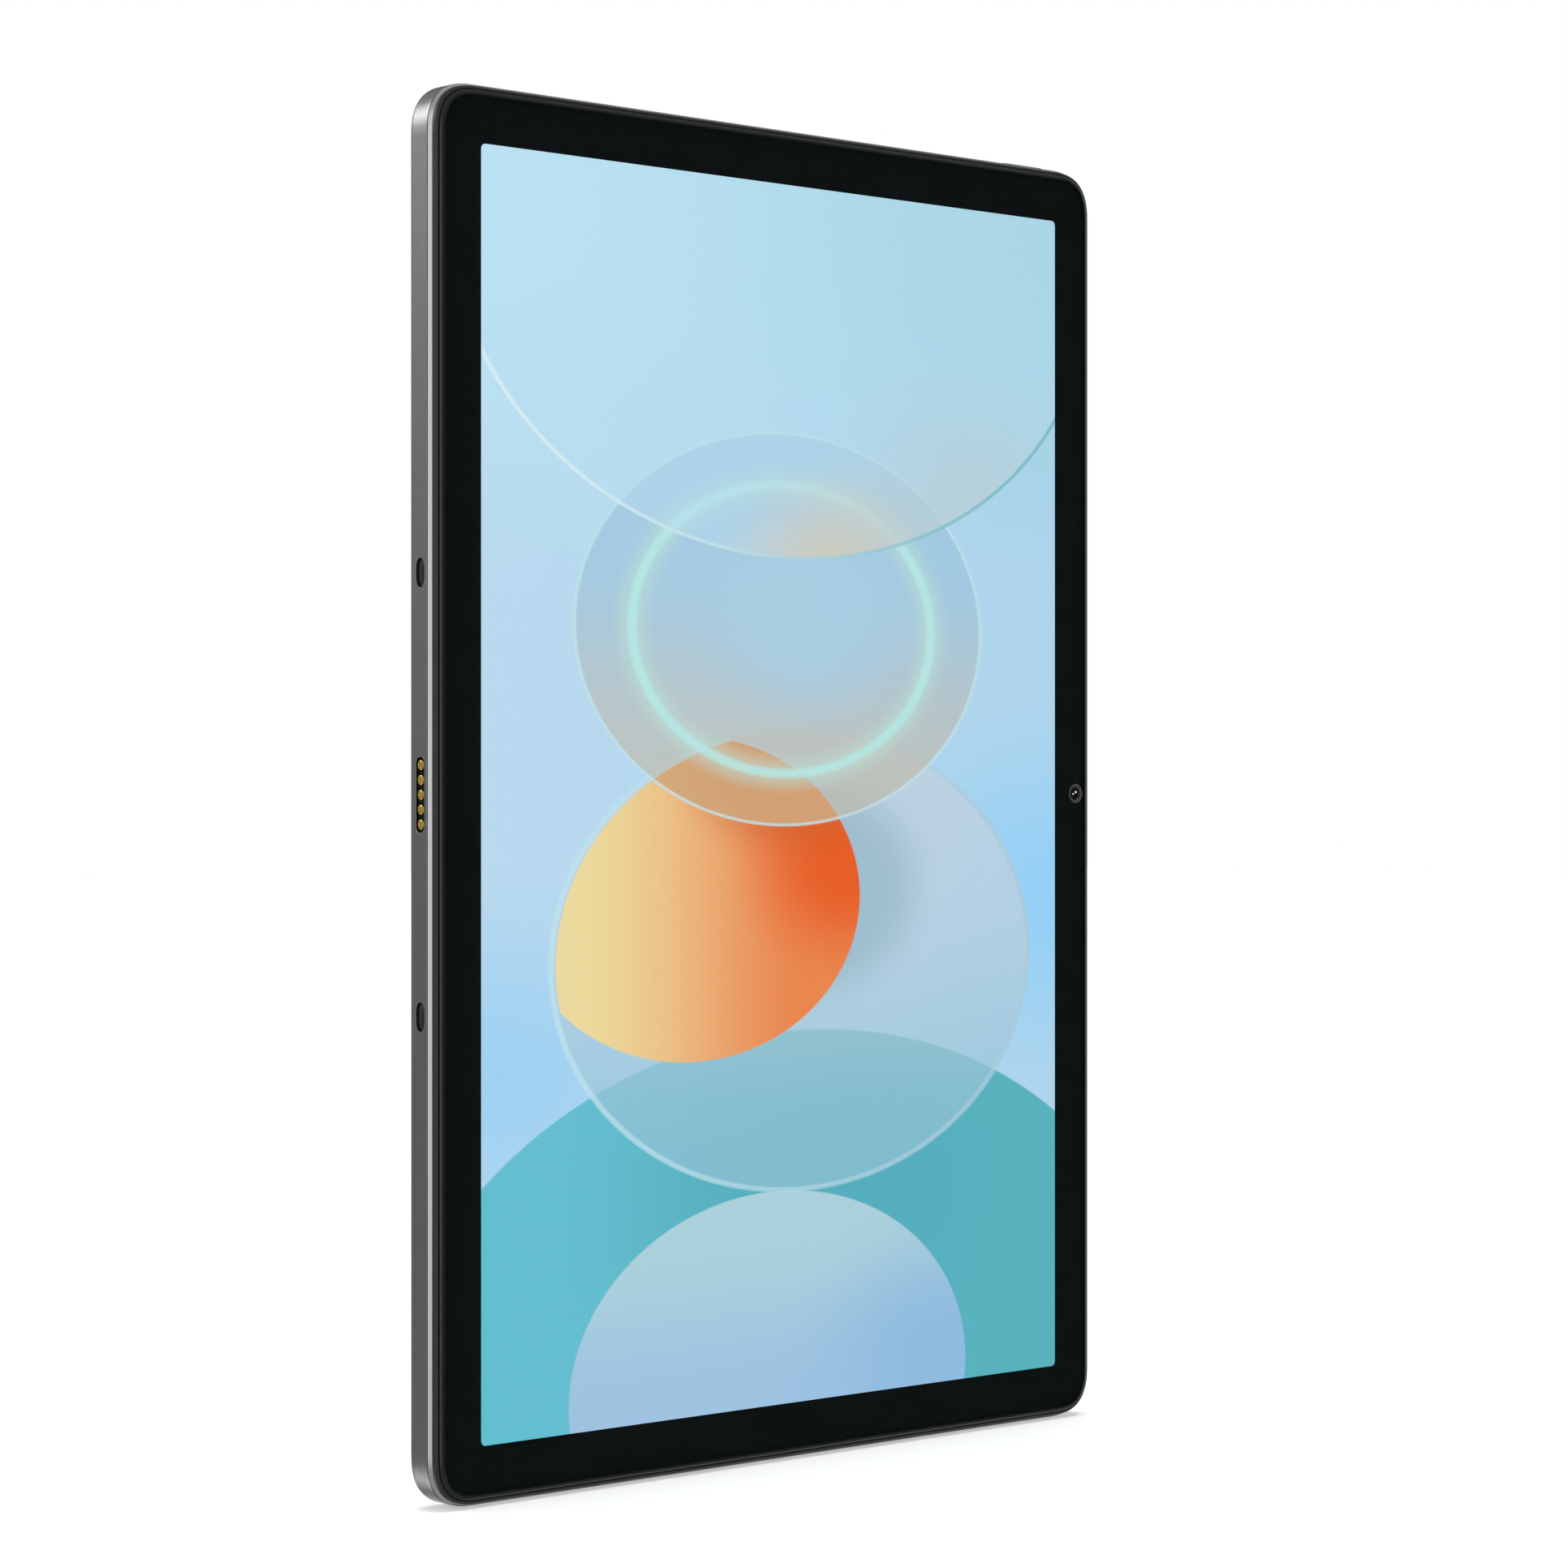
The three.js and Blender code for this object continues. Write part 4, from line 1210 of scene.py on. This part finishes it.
STUDIO_LEVEL = 0.30
CEILING = (0, 0, 1, 20, 150, 0.38)
# Each screen: its direction, the angles in degrees where it starts to fade and is gone, and its brightness. A
# later screen covers an earlier one.
STUDIO_SCREENS = [
    CEILING,
    (0.66, 0.75, 0.15, 16, 34, 0.07),  # dark behind, for the line along the back edge
    (0.50, 0.75, -0.45, 12, 26, 0.9),  # low behind, for the back
    (0.66, 0.37, -0.65, 12, 26, 0.10),  # dark low on the right, for the bottom edge
    (0.66, -0.22, -0.72, 8, 22, 0.7),  # pale below on the right, for the rim's lower edge
    (0.98, -0.12, 0, 12, 30, 0.8),  # right
    (-0.66, 0.75, -0.10, 10, 32, 0.20),  # left behind, level
    (-0.58, 0.74, 0.47, 6, 14, 6.6),  # left behind, high
    (-0.50, 0.66, -0.55, 6, 18, 2.4),  # left behind, low
    (-1, -0.12, 0.2, 14, 32, 0.76),  # left
    (-0.50, -0.85, 0, 10, 24, 1.4),  # left in front, for the edge of the glass
    (0.10, -1, 0, 8, 20, 0.12),  # dim in front
    (0.66, -0.75, 0, 14, 30, 0.01),  # dark where the display mirrors the studio
]


def make_world():
    """A soft studio: grey screens round the tablet, and plain white behind it for the camera."""
    world = bpy.data.worlds.new("studio")
    bpy.context.scene.world = world
    world.use_nodes = True
    studio = Nodes(world.node_tree)
    direction = studio.node("ShaderNodeTexCoord").outputs["Generated"]

    def towards(aim, inner, outer):
        """1 within inner degrees of a direction, easing to 0 at outer degrees."""
        inputs = {0: direction, 1: Vector(aim).normalized()}
        likeness = studio.node("ShaderNodeVectorMath", inputs, operation="DOT_PRODUCT").outputs["Value"]
        return studio.between(likeness, cos(radians(outer)), cos(radians(inner)))

    def grey(level):
        return (level, level, level, 1.0)

    light = grey(STUDIO_LEVEL)
    for *aim, inner, outer, level in STUDIO_SCREENS:
        light = studio.mix(towards(aim, inner, outer), light, grey(level))
    seen = studio.node("ShaderNodeLightPath").outputs["Is Camera Ray"]
    studio.feed(world.node_tree.nodes["Background"].inputs["Color"], studio.mix(seen, light, grey(1.0)))


def make_lamp():
    """A broad lamp overhead, which no surface mirrors."""
    data = bpy.data.lights.new("overhead", "SUN")
    data.energy = 1.8
    data.angle = radians(40)
    lamp = put("overhead", data)
    aim = Vector((0.0, -0.02, 1.0)).normalized()
    lamp.location = MIDDLE + aim * 2.0
    lamp.rotation_euler = aim.to_track_quat("Z", "Y").to_euler()
    lamp.visible_glossy = False


make_floor()
make_world()
make_lamp()
bpy.context.scene.view_settings.view_transform = "Standard"
